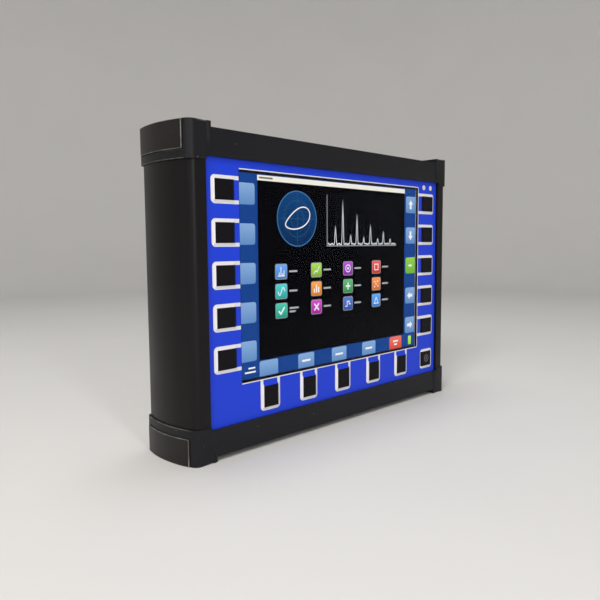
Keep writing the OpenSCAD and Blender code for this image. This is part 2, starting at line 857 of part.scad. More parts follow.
module input_shield() {
    z = input_board_z + shield_foot + shield_h / 2;
    color("#b9bcbf")
    difference() {
        slice(0, z, shield_w, shield_h, input_back_y, input_back_y + shield_t);
        slice(0, z, shield_w - 2 * shield_sheet, shield_h - 2 * shield_sheet,
            input_back_y - over, input_back_y + shield_t - shield_sheet);
    }
}

module board_standoffs() {
    color("#b08d3e")
    for (p = standoff_places) difference() {
        rod_y(p[0], p[1], standoff_corner_r, main_back_y, input_y, 6);
        rod_y(p[0], p[1], board_screw_r + thread_clearance, main_back_y - over, input_y + over);
    }
}

module board_screws() {
    color("#9b9da0")
    for (p = standoff_places) {
        rod_y(p[0], p[1], board_screw_head_r, input_back_y, input_back_y + board_screw_head_h);
        rod_y(p[0], p[1], board_screw_r, input_y - board_screw_grip, input_back_y + over);
        rod_y(p[0], p[1], board_screw_head_r, main_y - board_screw_head_h, main_y);
        rod_y(p[0], p[1], board_screw_r, main_y - over, main_back_y + board_screw_grip);
    }
}

module battery_tray() {
    inner_w = battery_w + 2 * battery_gap;
    color("#8f9296")
    difference() {
        slice(0, battery_z, inner_w + 2 * tray_sheet, battery_tray_h, rear_wall_y - tray_wall_h, rear_wall_y);
        slice(0, battery_z, inner_w, battery_tray_h - 2 * tray_sheet,
            rear_wall_y - tray_wall_h - over, battery_back_y);
    }
}

module battery_pack() {
    color("#2f5fa0")
    slice(0, battery_z, battery_w, battery_h, battery_back_y - battery_t, battery_back_y);
}

// The pack's plug on the main board and the two wires to the pack's upper edge
module battery_lead() {
    pack_top = battery_z + battery_h / 2;
    plug_z = pack_top + lead_reach + lead_plug_h / 2;
    wire_y = main_back_y + lead_plug_t - lead_wire_r;
    color("#26272a")
    slice(0, plug_z, lead_plug_w, lead_plug_h, main_back_y, main_back_y + lead_plug_t);
    color("#a02020")
    for (turn = [-1, 1]) {
        x = turn * lead_wire_pitch / 2;
        rod_y(x, pack_top + lead_wire_r, lead_wire_r, wire_y - lead_wire_r,
            battery_back_y - battery_t + lead_reach);
        rod_z(x, wire_y, lead_wire_r, pack_top, plug_z);
    }
}

// A flat cable with a foot on each board and a web between them
module flat_cable(x, z, w, front, back) {
    slice(x, z + ribbon_leg / 2, w, ribbon_leg, front, front + ribbon_t);
    slice(x, z + ribbon_leg / 2, w, ribbon_leg, back - ribbon_t, back);
    slice(x, z, w, ribbon_t, front, back);
}

module display_ribbon() {
    z = window_z - display_ribbon_drop;
    color("#c98a2b") flat_cable(window_x, z, ribbon_w, keypad_y, main_y);
}

module keypad_ribbon() {
    x = side_key_x - keypad_ribbon_side;
    color("#c98a2b") flat_cable(x, bottom_key_z, keypad_ribbon_w, keypad_back_y, main_y);
}

// One coaxial jack: hexagon, tail, threaded barrel, shell and its two lugs
module bnc_jack() {
    top = connector_z + bnc_h;
    barrel_top = connector_z + bnc_nut_t + stud_end;
    difference() {
        union() {
            rod_z(0, 0, bnc_hex_r, connector_back_z - bnc_hex_t, connector_back_z, 6);
            rod_z(0, 0, bnc_tail_r, connector_back_z - bnc_tail, connector_back_z);
            rod_z(0, 0, bnc_barrel_r, connector_back_z - over, barrel_top);
            rod_z(0, 0, bnc_shell_r, connector_back_z, top);
            translate([0, 0, top - bnc_lug_drop]) rotate([0, 90, 0])
                cylinder(h = 2 * (bnc_shell_r + bnc_lug_out), r = bnc_lug_r, center = true);
        }
        rod_z(0, 0, bnc_shell_bore_r, connector_z + bnc_shell_floor, top + over);
        rod_z(0, 0, bnc_insulator_r, connector_back_z - bnc_tail - over, top);
    }
}

module bnc_jacks() {
    color("#c4c6c8") for (x = bnc_places) translate([x, 0, 0]) bnc_jack();
}

module bnc_nuts() {
    color("#b8babd")
    for (x = bnc_places) difference() {
        rod_z(x, 0, bnc_hex_r, connector_z, connector_z + bnc_nut_t, 6);
        rod_z(x, 0, bnc_barrel_r + thread_clearance, connector_z - over, connector_z + bnc_nut_t + over);
    }
}

module bnc_insulators() {
    top = connector_z + bnc_h - bnc_insulator_drop;
    color("#f1f0ea")
    for (x = bnc_places) difference() {
        rod_z(x, 0, bnc_insulator_r - thread_clearance, connector_back_z - bnc_tail, top);
        rod_z(x, 0, bnc_contact_r + thread_clearance, connector_back_z - bnc_tail - over, top + over);
    }
}

module bnc_contacts() {
    top = connector_z + bnc_h - bnc_insulator_drop;
    color("#c9a44a")
    for (x = bnc_places) difference() {
        rod_z(x, 0, bnc_contact_r, connector_back_z - bnc_tail - bnc_contact_tail, top);
        rod_z(x, 0, bnc_contact_bore_r, top - bnc_contact_depth, top + over);
    }
}

module audio_jack() {
    color("#1c1c1e")
    difference() {
        union() {
            translate([audio_x - audio_w / 2, -input_y, connector_back_z - socket_depth])
                cube([audio_w, 2 * input_y, socket_depth]);
            rod_z(audio_x, 0, audio_nose_r, connector_back_z - over, connector_z + nose_out);
        }
        rod_z(audio_x, 0, audio_bore_r, connector_back_z - socket_depth + usb_floor,
            connector_z + nose_out + over);
    }
}

module power_jack() {
    low = connector_back_z - socket_depth;
    color("#1c1c1e")
    difference() {
        union() {
            translate([power_x - power_w / 2, -input_y, low]) cube([power_w, 2 * input_y, socket_depth]);
            rod_z(power_x, 0, power_nose_r, connector_back_z - over, connector_z + nose_out);
        }
        rod_z(power_x, 0, power_bore_r, low + power_floor, connector_z + nose_out + over);
    }
    color("#c4c6c8") rod_z(power_x, 0, power_pin_r, low + power_floor / 2, connector_z);
}

// A data socket: a sheet shell on a foot, with a tongue inside
module usb_socket(x, w, t) {
    low = connector_back_z - socket_depth;
    high = connector_z + nose_out;
    color("#b9bcbf")
    difference() {
        translate([x - w / 2, -t / 2, low]) cube([w, t, high - low]);
        translate([x - w / 2 + usb_sheet, -t / 2 + usb_sheet, low + usb_floor])
            cube([w - 2 * usb_sheet, t - 2 * usb_sheet, high - low]);
    }
    color("#1c1c1e") {
        translate([x - w / 2, t / 2 - usb_sheet / 2, low]) cube([w, input_y - t / 2 + usb_sheet / 2, socket_depth]);
        translate([x - w / 2 + 2 * usb_tongue_gap, -usb_tongue_t / 2, low + usb_floor / 2])
            cube([w - 4 * usb_tongue_gap, usb_tongue_t, high - low - usb_floor]);
    }
}

module usb_a_socket() { usb_socket(usb_a_x, usb_a_w, usb_a_t); }
module usb_mini_socket() { usb_socket(usb_mini_x, usb_mini_w, usb_mini_t); }

housing_profile();
top_end_cap();
bottom_end_cap();
top_left_insert();
top_right_insert();
bottom_left_insert();
bottom_right_insert();
top_seal();
bottom_seal();
connector_plate();
bottom_plate();
cap_screws();
keypad_overlay();
display_window();
display_gasket();
display_panel();
display_tray();
keypad_board();
keypad_studs();
keypad_nuts();
switch_bodies();
led_lenses();
status_leds();
main_board();
processor_cover();
coin_cell();
memory_card();
input_board();
input_shield();
board_standoffs();
board_screws();
battery_tray();
battery_pack();
battery_lead();
display_ribbon();
keypad_ribbon();
bnc_jacks();
bnc_nuts();
bnc_insulators();
bnc_contacts();
audio_jack();
usb_a_socket();
usb_mini_socket();
power_jack();
for (i = [0:len(key_names) - 1])
    key(key_places[i]);
key_power();
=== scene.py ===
"""Looks of a portable vibration meter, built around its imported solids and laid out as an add-on."""

import math

import bmesh
import bpy
from bpy.props import FloatProperty, FloatVectorProperty, IntProperty, PointerProperty
from mathutils import Matrix, Vector


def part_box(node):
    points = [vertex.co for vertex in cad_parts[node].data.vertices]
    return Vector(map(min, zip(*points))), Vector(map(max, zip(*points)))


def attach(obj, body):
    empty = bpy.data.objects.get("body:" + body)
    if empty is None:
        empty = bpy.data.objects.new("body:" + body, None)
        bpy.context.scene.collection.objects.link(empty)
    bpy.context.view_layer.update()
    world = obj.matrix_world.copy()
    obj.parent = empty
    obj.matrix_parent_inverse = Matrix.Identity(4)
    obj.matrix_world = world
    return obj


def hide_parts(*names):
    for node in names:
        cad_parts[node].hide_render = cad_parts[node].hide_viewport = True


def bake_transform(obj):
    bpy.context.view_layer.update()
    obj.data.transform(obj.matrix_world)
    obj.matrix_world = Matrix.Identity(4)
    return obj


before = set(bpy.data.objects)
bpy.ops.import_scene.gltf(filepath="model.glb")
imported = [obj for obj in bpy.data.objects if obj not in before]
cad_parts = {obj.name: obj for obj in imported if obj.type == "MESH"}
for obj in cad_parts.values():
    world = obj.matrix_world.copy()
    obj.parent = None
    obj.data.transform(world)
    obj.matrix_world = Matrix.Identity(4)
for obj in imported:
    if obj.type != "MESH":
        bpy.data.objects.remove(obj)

bl_info = {
    "name": "Vibration Meter",
    "version": (1, 0, 0),
    "blender": (4, 5, 0),
    "location": "View3D > Sidebar > Meter",
    "description": "Dresses the solids of a portable vibration meter",
    "category": "Object",
}

MM = 0.001
HOUSING = "housing"
SIDE_KEYS = [f"key_{side}_{i}" for side in ("left", "right") for i in range(1, 6)]
BOTTOM_KEYS = [f"key_bottom_{i}" for i in range(1, 6)]
ALL_KEYS = SIDE_KEYS + BOTTOM_KEYS + ["key_power"]
SHARP = math.radians(40)
TOUCH = 0.02  # millimetres within which two places count as one
LEVEL = 1e-5  # metres within which points count as on the same flat face
ARC_X = 63  # millimetres from the middle to the centre of a side arc
WELL_X, WELL_Y = 113, 20  # millimetres, half of an end cap's open well
# The layers of the lit picture, from the back to the front
BACK, GROUND, PANEL, FRAME, FACE, TRACE, SYMBOL, CROSSING = range(8)


def linear(red, green, blue):
    """A colour written in 0 to 255, as the linear colour that a shader takes."""
    shares = (c / 255 for c in (red, green, blue))
    return tuple(share / 12.92 if share <= 10 / 255 else ((share + 0.055) / 1.055) ** 2.4 for share in shares)


def length_prop(name, description, default, **limits):
    """A size in metres."""
    return FloatProperty(
        name=name, description=description, default=default, unit="LENGTH", precision=5, **limits
    )


def colour_prop(name, description, default):
    """A colour that the user can pick."""
    return FloatVectorProperty(
        name=name, description=description, default=default, subtype="COLOR", size=3, min=0, max=1
    )


def share_prop(name, description, default):
    """A share from 0 to 1."""
    return FloatProperty(name=name, description=description, default=default, subtype="FACTOR", min=0, max=1)


def turn_prop(name, description, default):
    """An angle in radians."""
    return FloatProperty(name=name, description=description, default=default, unit="ROTATION")


def power_prop(name, description, default):
    """A lamp's power in watts."""
    return FloatProperty(name=name, description=description, default=default, unit="POWER")


class CaseSettings(bpy.types.PropertyGroup):
    """Sizes and colours of the tube, the end caps and what closes them."""

    tube_colour: colour_prop("Tube", "Anodised aluminium of the tube", linear(13, 11, 12))
    cap_colour: colour_prop("Caps", "Moulding of the end caps", linear(24, 24, 28))
    insert_colour: colour_prop("Inserts", "Coated pads on the corner blocks", linear(29, 26, 26))
    plate_colour: colour_prop("Plates", "Coat of the end plates", linear(30, 31, 34))
    screw_colour: colour_prop("Screws", "Dark steel of the cap screws", linear(72, 72, 74))
    rubber_colour: colour_prop("Seals", "Rubber of the seals", linear(28, 28, 29))
    rim_round: length_prop("Rim rounding", "Rounding of the caps' outer rims", 0.0010, min=0.0001)
    lip_round: length_prop("Lip rounding", "Rounding of the blocks' rims round the tube", 0.0006, min=0.0001)
    bar_round: length_prop("Bar rounding", "Rounding of the bars' long edges", 0.0007, min=0.0001)
    small_round: length_prop("Small rounding", "Rounding of pockets, wells and bores", 0.0003, min=0.00005)
    insert_round: length_prop("Insert rounding", "Slope round a corner insert", 0.0011, min=0.0001)
    block_slope: length_prop("Block slope", "How far a block's inner edge slopes back", 0.00045, min=0)
    # how much the rounded edges are lightened: partly rubbed wear, partly a painted highlight
    wear_and_highlight: share_prop("Wear", "How much the edges are rubbed bright", 0.55)
    dust: share_prop("Dust", "How much dust lies on the surfaces", 0.45)


class KeypadSettings(bpy.types.PropertyGroup):
    """Sizes and colours of the printed film and its keys."""

    film_colour: colour_prop("Film", "Blue of the printed film", linear(26, 62, 212))
    frame_colour: colour_prop("Frames", "Pale print round the keys", linear(226, 224, 226))
    key_colour: colour_prop("Keys", "Printed tops of the keys", linear(16, 14, 19))
    line_colour: colour_prop("Dark line", "Thin line along the window", linear(14, 15, 24))
    glyph_colour: colour_prop("Symbol", "Symbol on the power key", linear(118, 116, 118))
    frame_stroke: length_prop("Frame stroke", "Width of the pale frames", 0.0024, min=0.0005)
    frame_corner: length_prop("Frame corner", "Outer corner radius of a frame", 0.0028, min=0.0005)
    outline: length_prop("Outline", "Width of the pale line round the window", 0.0008, min=0)
    slope: length_prop("Slope", "Width of the slope round a key's top", 0.0015, min=0.0005)
    skin: length_prop("Skin", "How far the film stands above a key's pad", 0.00004, min=0.00001)


class DisplaySettings(bpy.types.PropertyGroup):
    """Colours of the lit picture."""

    ground_colour: colour_prop("Ground", "Dark ground of the picture", linear(3, 3, 6))
    bar_colour: colour_prop("Bars", "Side bars of the picture", linear(24, 66, 138))
    tab_colour: colour_prop("Tabs", "Soft keys of the picture", linear(96, 138, 192))
    tab_light: colour_prop("Tab tops", "Lighter top of a soft key", linear(134, 170, 214))
    title_colour: colour_prop("Title bar", "Pale strip at the top of the picture", linear(238, 234, 222))
    mark_colour: colour_prop("Marks", "White marks of the picture", linear(235, 238, 240))
    glow: FloatProperty(name="Glow", description="Strength of the display's light", default=1.0, min=0, max=5)


class ConnectorSettings(bpy.types.PropertyGroup):
    """Sizes and colours of the sockets in the upper well."""

    nickel_colour: colour_prop("Nickel", "Plated shells", linear(196, 194, 188))
    steel_colour: colour_prop("Steel", "Folded sheet shells", linear(176, 178, 180))
    brass_colour: colour_prop("Gold", "Plated contacts", linear(214, 176, 96))
    plastic_colour: colour_prop("Insulator", "White plastic inside the jacks", linear(224, 222, 214))
    screw_turn_seed: IntProperty(name="Screw seed", description="Seed of the screws' turns", default=7, min=0)


class StageSettings(bpy.types.PropertyGroup):
    """Camera, lamps and backdrop."""

    lens: FloatProperty(
        name="Lens", description="Focal length on a 36 mm sensor", default=36.18, unit="CAMERA"
    )
    yaw: turn_prop("Yaw", "Turn of the camera about Z", 0.7778)
    pitch: turn_prop("Pitch", "Downward tilt of the camera", 0.0921)
    roll: turn_prop("Roll", "Turn about the line of sight", -0.0070)
    camera_place: FloatVectorProperty(
        name="Camera place", description="Where the camera stands", default=(-0.33467, -0.31943, 0.13284),
        subtype="TRANSLATION", size=3,
    )
    floor_colour: colour_prop("Floor", "Pale floor and backdrop", linear(222, 221, 219))
    floor_radius: length_prop("Floor radius", "Radius of the flat floor", 1.3, min=0.3)
    sweep_radius: length_prop("Sweep radius", "Radius between floor and backdrop", 0.6, min=0.1)
    wall_height: length_prop("Backdrop height", "Height of the backdrop", 2.2, min=0.5)
    key_power: power_prop("Key lamp", "Power of the large lamp at the left", 14)
    strip_power: power_prop("Strip lamp", "Power of the tall lamp in front", 5)
    top_power: power_prop("Top lamp", "Power of the lamp overhead", 6)
    sky: FloatProperty(name="Sky", description="Strength of the pale surroundings", default=0.22, min=0)


class MeterSettings(bpy.types.PropertyGroup):
    """All settings of the meter."""

    case: PointerProperty(type=CaseSettings)
    keypad: PointerProperty(type=KeypadSettings)
    display: PointerProperty(type=DisplaySettings)
    connectors: PointerProperty(type=ConnectorSettings)
    stage: PointerProperty(type=StageSettings)


# Shader nodes


class Tree:
    """Adds nodes to a shader tree, with sockets or plain values as inputs."""

    def __init__(self, tree):
        self.tree = tree

    def add(self, kind, inputs=None, **options):
        """A new node, whose inputs are linked or set."""
        node = self.tree.nodes.new(kind)
        for key, value in options.items():
            setattr(node, key, value)
        for key, value in (inputs or {}).items():
            self.put(node.inputs[key], value)
        node.location = (200 * (len(self.tree.nodes) % 12), -220 * (len(self.tree.nodes) // 12))
        return node

    def put(self, socket, value):
        """Links value to socket if it's a socket, and sets it otherwise."""
        if isinstance(value, bpy.types.NodeSocket):
            self.tree.links.new(value, socket)
        elif socket.type == "RGBA" and len(value) == 3:
            socket.default_value = (*value, 1)
        else:
            socket.default_value = value

    def math(self, operation, *values, clamp=False):
        """One number from others."""
        node = self.add("ShaderNodeMath", dict(enumerate(values)), operation=operation, use_clamp=clamp)
        return node.outputs[0]

    def vector(self, operation, *values):
        """One vector from others, or its length."""
        node = self.add("ShaderNodeVectorMath", dict(enumerate(values)), operation=operation)
        return node.outputs["Value" if operation in ("LENGTH", "DOT_PRODUCT") else "Vector"]

    def smooth(self, value, low, high):
        """0 at low and 1 at high, with a soft start and end."""
        node = self.add("ShaderNodeMapRange", {"Value": value, "From Min": low, "From Max": high})
        node.interpolation_type = "SMOOTHSTEP"
        return node.outputs["Result"]

    def spread(self, value, low, high):
        """A value from 0 to 1, spread from low to high."""
        node = self.add("ShaderNodeMapRange", {"Value": value, "To Min": low, "To Max": high})
        return node.outputs["Result"]

    def mix(self, factor, first, second):
        """The first colour at 0 and the second at 1."""
        return self.add("ShaderNodeMix", {0: factor, 6: first, 7: second}, data_type="RGBA").outputs[2]

    def place(self):
        """The point's place on its object."""
        return self.add("ShaderNodeTexCoord").outputs["Object"]

    def noise(self, vector, scale, detail):
        """Soft noise, about 0.5."""
        return self.add("ShaderNodeTexNoise", {"Vector": vector, "Scale": scale, "Detail": detail}).outputs[0]

    def group(self, name, **inputs):
        """One of the meter's node groups."""
        node = self.add("ShaderNodeGroup")
        node.node_tree = bpy.data.node_groups[name]
        for key, value in inputs.items():
            self.put(node.inputs[key.replace("_", " ").capitalize()], value)
        return node


def new_group(name, inputs, outputs):
    """An empty shader group. Inputs are (name, kind, default), outputs are (name, kind)."""
    tree = bpy.data.node_groups.new(name, "ShaderNodeTree")
    for label, kind, default in inputs:
        socket = tree.interface.new_socket(name=label, in_out="INPUT", socket_type=f"NodeSocket{kind}")
        socket.default_value = default
    for label, kind in outputs:
        tree.interface.new_socket(name=label, in_out="OUTPUT", socket_type=f"NodeSocket{kind}")
    nodes = Tree(tree)
    return nodes, nodes.add("NodeGroupInput").outputs, nodes.add("NodeGroupOutput").inputs


def build_grain_group():
    """Fine cast or printed texture: a height for bump, and a slow tone over the surface."""
    nodes, given, out = new_group(
        "Fine Grain",
        [("Grain scale", "Float", 1800.0), ("Cloud scale", "Float", 22.0), ("Contrast", "Float", 0.5)],
        [("Height", "Float"), ("Tone", "Float")],
    )
    place = nodes.place()
    fine = nodes.noise(place, given["Grain scale"], 2.0)
    cell = nodes.add("ShaderNodeTexVoronoi", {"Vector": place, "Scale": given["Grain scale"]})
    nodes.put(out["Height"], nodes.math("MULTIPLY_ADD", cell.outputs["Distance"], 0.4, fine))
    cloud = nodes.noise(place, given["Cloud scale"], 4.0)
    spread = nodes.math("SUBTRACT", cloud, 0.5)
    nodes.put(out["Tone"], nodes.math("MULTIPLY_ADD", spread, given["Contrast"], 0.5, clamp=True))


def build_lines_group():
    """Fine lines along Z, as an extrusion die leaves."""
    nodes, given, out = new_group(
        "Die Lines",
        [("Line scale", "Float", 900.0), ("Stretch", "Float", 0.004)],
        [("Height", "Float"), ("Streak", "Float")],
    )
    place = nodes.place()
    along = nodes.add("ShaderNodeCombineXYZ", {"X": 1.0, "Y": 1.0, "Z": given["Stretch"]}).outputs[0]
    drawn = nodes.vector("MULTIPLY", place, along)
    fine = nodes.noise(drawn, given["Line scale"], 3.0)
    nodes.put(out["Height"], fine)
    broad = nodes.noise(drawn, nodes.math("MULTIPLY", given["Line scale"], 0.12), 2.0)
    nodes.put(out["Streak"], nodes.smooth(broad, 0.35, 0.7))


def build_wear_and_highlight_group():
    """Rubbed edges with a painted highlight on them: the mesh's own edge attribute, broken up by noise."""
    nodes, given, out = new_group(
        "Edge Wear And Highlight", [("Amount", "Float", 0.4), ("Patch scale", "Float", 160.0)], [("Mask", "Float")]
    )
    edge = nodes.add("ShaderNodeAttribute", attribute_name="edge").outputs["Fac"]
    place = nodes.place()
    patch = nodes.smooth(nodes.noise(place, given["Patch scale"], 3.0), 0.38, 0.62)
    rubbed_and_highlit = nodes.math("MULTIPLY", edge, nodes.spread(patch, 0.35, 1.0))
    nodes.put(out["Mask"], nodes.math("MULTIPLY", rubbed_and_highlit, given["Amount"], clamp=True))


def build_dust_group():
    """Loose specks and a faint film of dust, more of it on faces that look up."""
    nodes, given, out = new_group(
        "Dust",
        [("Amount", "Float", 0.3), ("Speck scale", "Float", 210.0)],
        [("Mask", "Float"), ("Smudge", "Float")],
    )
    place = nodes.place()
    cell = nodes.add("ShaderNodeTexVoronoi", {"Vector": place, "Scale": given["Speck scale"]})
    near = nodes.math("SUBTRACT", 1.0, nodes.smooth(cell.outputs["Distance"], 0.03, 0.09))
    chance = nodes.add("ShaderNodeSeparateColor", {0: cell.outputs["Color"]}).outputs[0]
    specks = nodes.math("MULTIPLY", near, nodes.math("GREATER_THAN", chance, 0.93))
    normal = nodes.add("ShaderNodeNewGeometry").outputs["Normal"]
    facing = nodes.add("ShaderNodeSeparateXYZ", {0: normal}).outputs[2]
    upward = nodes.math("MULTIPLY", nodes.smooth(facing, 0.3, 1.0), 0.12)
    layer = nodes.math("MULTIPLY", upward, nodes.noise(place, 60.0, 4.0))
    whole = nodes.math("MAXIMUM", specks, layer)
    nodes.put(out["Mask"], nodes.math("MULTIPLY", whole, given["Amount"], clamp=True))
    nodes.put(out["Smudge"], nodes.smooth(nodes.noise(place, 14.0, 5.0), 0.42, 0.68))


def build_field_group():
    """Signed distance to a rounded rectangle, in the units of its inputs: negative inside."""
    nodes, given, out = new_group(
        "Rounded Field",
        [("Across", "Float", 0.0), ("Up", "Float", 0.0), ("Half width", "Float", 1.0),
         ("Half height", "Float", 1.0), ("Corner", "Float", 0.1)],
        [("Distance", "Float")],
    )
    sides = []
    for place, half in (("Across", "Half width"), ("Up", "Half height")):
        reach = nodes.math("SUBTRACT", given[half], given["Corner"])
        sides.append(nodes.math("SUBTRACT", nodes.math("ABSOLUTE", given[place]), reach))
    outside = [nodes.math("MAXIMUM", side, 0.0) for side in sides]
    square = nodes.math("MULTIPLY", outside[1], outside[1])
    squares = nodes.math("MULTIPLY_ADD", outside[0], outside[0], square)
    inside = nodes.math("MINIMUM", nodes.math("MAXIMUM", *sides), 0.0)
    whole = nodes.math("ADD", nodes.math("SQRT", squares), inside)
    nodes.put(out["Distance"], nodes.math("SUBTRACT", whole, given["Corner"]))


def build_print_group(keypad, window, side_row, bottom_row, power):
    """The keypad's print: where the pale frames lie, and where the dark line beside the window."""
    nodes, given, out = new_group(
        "Keypad Print",
        [("Stroke", "Float", keypad.frame_stroke / MM), ("Corner", "Float", keypad.frame_corner / MM),
         ("Outline", "Float", keypad.outline / MM), ("Softness", "Float", 0.05)],
        [("Frames", "Float"), ("Line", "Float")],
    )
    place = nodes.vector("MULTIPLY", nodes.place(), (1 / MM,) * 3)
    axes = nodes.add("ShaderNodeSeparateXYZ", {0: place}).outputs
    across, up, inner_corner = axes[0], axes[2], 0.7

    def nearest(value, first, pitch, count):
        """Distance from the nearest of a row of equal steps."""
        step = nodes.math("ROUND", nodes.math("DIVIDE", nodes.math("SUBTRACT", value, first), pitch))
        step = nodes.math("MINIMUM", nodes.math("MAXIMUM", step, 0.0), count - 1.0)
        return nodes.math("SUBTRACT", value, nodes.math("MULTIPLY_ADD", step, pitch, first))

    def ink(distance):
        """1 inside the shape."""
        soft = given["Softness"]
        return nodes.smooth(distance, soft, nodes.math("MULTIPLY", soft, -1.0))

    def ring(x, z, half_w, half_h, shift_x=0.0, shift_z=0.0):
        """A pale frame: the outer shape without the inner one, whose open side a shift moves out."""
        outer = nodes.group("Rounded Field", across=x, up=z, half_width=half_w, half_height=half_h,
                            corner=given["Corner"]).outputs[0]
        inner_w = nodes.math("SUBTRACT", half_w + abs(shift_x), given["Stroke"])
        inner_h = nodes.math("SUBTRACT", half_h + abs(shift_z), given["Stroke"])
        inner = nodes.group(
            "Rounded Field", across=nodes.math("SUBTRACT", x, shift_x), up=nodes.math("SUBTRACT", z, shift_z),
            half_width=inner_w, half_height=inner_h, corner=inner_corner,
        ).outputs[0]
        return nodes.math("MULTIPLY", ink(outer), nodes.math("SUBTRACT", 1.0, ink(inner)))

    # millimetres: the run of a frame's open side, and the dark line's width past the window
    open_run, window_corner, line_w = 30.0, 0.3, 0.4
    side_z = nearest(up, side_row["first"], side_row["pitch"], side_row["count"])
    middle = side_row["outer"] - open_run / 2
    side_x = nodes.math("SUBTRACT", nodes.math("ABSOLUTE", across), middle)
    sides = ring(side_x, side_z, open_run / 2, side_row["half"], shift_x=-open_run / 2)
    sides = nodes.math("MULTIPLY", sides, nodes.math("GREATER_THAN", up, window["low"]))

    bottom_x = nearest(across, bottom_row["first"], bottom_row["pitch"], bottom_row["count"])
    bottom_z = nodes.math("SUBTRACT", up, bottom_row["outer"] + open_run / 2)
    feet = ring(bottom_x, bottom_z, bottom_row["half"], open_run / 2, shift_z=open_run / 2)
    feet = nodes.math("MULTIPLY", feet, nodes.math("LESS_THAN", up, window["low"]))

    power_x = nodes.math("SUBTRACT", across, power["x"])
    power_z = nodes.math("SUBTRACT", up, power["z"])
    closed = ring(power_x, power_z, power["half_w"], power["half_h"])

    edge = nodes.group(
        "Rounded Field", across=nodes.math("SUBTRACT", across, window["x"]),
        up=nodes.math("SUBTRACT", up, window["z"]), half_width=window["half_w"], half_height=window["half_h"],
        corner=window_corner,
    ).outputs[0]
    outline = ink(nodes.math("SUBTRACT", edge, nodes.math("ADD", given["Outline"], window_corner)))
    left = nodes.math("LESS_THAN", across, window["x"] - window["half_w"])
    outline = nodes.math("MULTIPLY", outline, nodes.math("SUBTRACT", 1.0, left))
    frames = nodes.math("MAXIMUM", nodes.math("MAXIMUM", sides, feet), nodes.math("MAXIMUM", closed, outline))
    nodes.put(out["Frames"], frames)
    nodes.put(out["Line"], ink(nodes.math("SUBTRACT", edge, line_w)))


def finish_of(name):
    """The finish of that name."""
    return bpy.data.materials[f"{name}_finish"]


def new_material(name):
    """An empty material and its Principled shader."""
    found = bpy.data.materials.new(f"{name}_finish")
    found.use_nodes = True
    return found, Tree(found.node_tree), found.node_tree.nodes["Principled BSDF"]


def finish_material(
    name, colour, roughness, metallic=0.0, specular=0.5, grain=1800.0, depth=0.00002, cloud=22.0,
    contrast=0.5, wear_and_highlight=0.0, worn_and_highlight_colour=None, dust=0.0, lines=0.0, coat=0.0,
):
    """A solid finish with grain, tone, rubbed edges that also carry a painted highlight, dust and, where
    asked, lines along Z.
    """
    found, nodes, shader = new_material(name)
    grained = nodes.group("Fine Grain", grain_scale=grain, cloud_scale=cloud, contrast=contrast).outputs
    dark = tuple(c * 0.82 for c in colour)
    light = tuple(min(1.0, c * 1.18) for c in colour)
    base = nodes.mix(grained["Tone"], dark, light)
    height = grained["Height"]
    rough = nodes.spread(grained["Tone"], roughness * 0.88, min(1.0, roughness * 1.12))
    if lines:
        drawn = nodes.group("Die Lines").outputs
        base = nodes.mix(nodes.math("MULTIPLY", drawn["Streak"], lines), base, tuple(c * 1.7 for c in colour))
        height = nodes.math("MULTIPLY_ADD", drawn["Height"], 1.5, height)
    # the edge mask lightens the rounded edges towards the worn colour: partly rubbed wear, partly a painted
    # highlight
    if wear_and_highlight:
        mask = nodes.group("Edge Wear And Highlight", amount=wear_and_highlight).outputs[0]
        base = nodes.mix(mask, base, worn_and_highlight_colour)
        rough = nodes.math("SUBTRACT", rough, nodes.math("MULTIPLY", mask, 0.12), clamp=True)
    if dust:
        loose = nodes.group("Dust", amount=dust).outputs
        base = nodes.mix(loose["Mask"], base, linear(176, 170, 160))
        smudge = nodes.math("MULTIPLY", loose["Smudge"], 0.06)
        rough = nodes.math("ADD", rough, smudge, clamp=True)
    nodes.put(shader.inputs["Base Color"], base)
    nodes.put(shader.inputs["Roughness"], rough)
    bump = nodes.add("ShaderNodeBump", {"Strength": 0.6, "Distance": depth, "Height": height})
    nodes.put(shader.inputs["Normal"], bump.outputs[0])
    shader.inputs["Metallic"].default_value = metallic
    shader.inputs["Specular IOR Level"].default_value = specular
    shader.inputs["Coat Weight"].default_value = coat
    shader.inputs["Coat Roughness"].default_value = 0.25
    return found


def glow_material(name, strength):
    """Lit picture: each face has its own colour in the tint attribute, with a fine dot pattern."""
    found, nodes, shader = new_material(name)
    tint = nodes.add("ShaderNodeAttribute", attribute_name="tint").outputs["Color"]
    place = nodes.place()
    dots = nodes.spread(nodes.noise(place, 2600.0, 1.0), 0.93, 1.07)
    lit = nodes.add("ShaderNodeMix", {0: 1.0, 6: tint, 7: nodes.add("ShaderNodeCombineColor", {
        0: dots, 1: dots, 2: dots}).outputs[0]}, data_type="RGBA", blend_type="MULTIPLY").outputs[2]
    nodes.put(shader.inputs["Emission Color"], lit)
    nodes.put(shader.inputs["Base Color"], nodes.mix(0.97, lit, (0, 0, 0)))
    shader.inputs["Emission Strength"].default_value = strength
    shader.inputs["Roughness"].default_value = 0.8
    shader.inputs["Specular IOR Level"].default_value = 0.0
    return found


def glass_material(name):
    """Clear coated pane."""
    found, nodes, shader = new_material(name)
    loose = nodes.group("Dust", amount=0.3).outputs
    nodes.put(shader.inputs["Roughness"], nodes.spread(loose["Smudge"], 0.015, 0.05))
    nodes.put(shader.inputs["Base Color"], nodes.mix(loose["Mask"], (1, 1, 1), (0.8, 0.8, 0.8)))
    shader.inputs["Transmission Weight"].default_value = 1.0
    shader.inputs["IOR"].default_value = 1.1
    return found


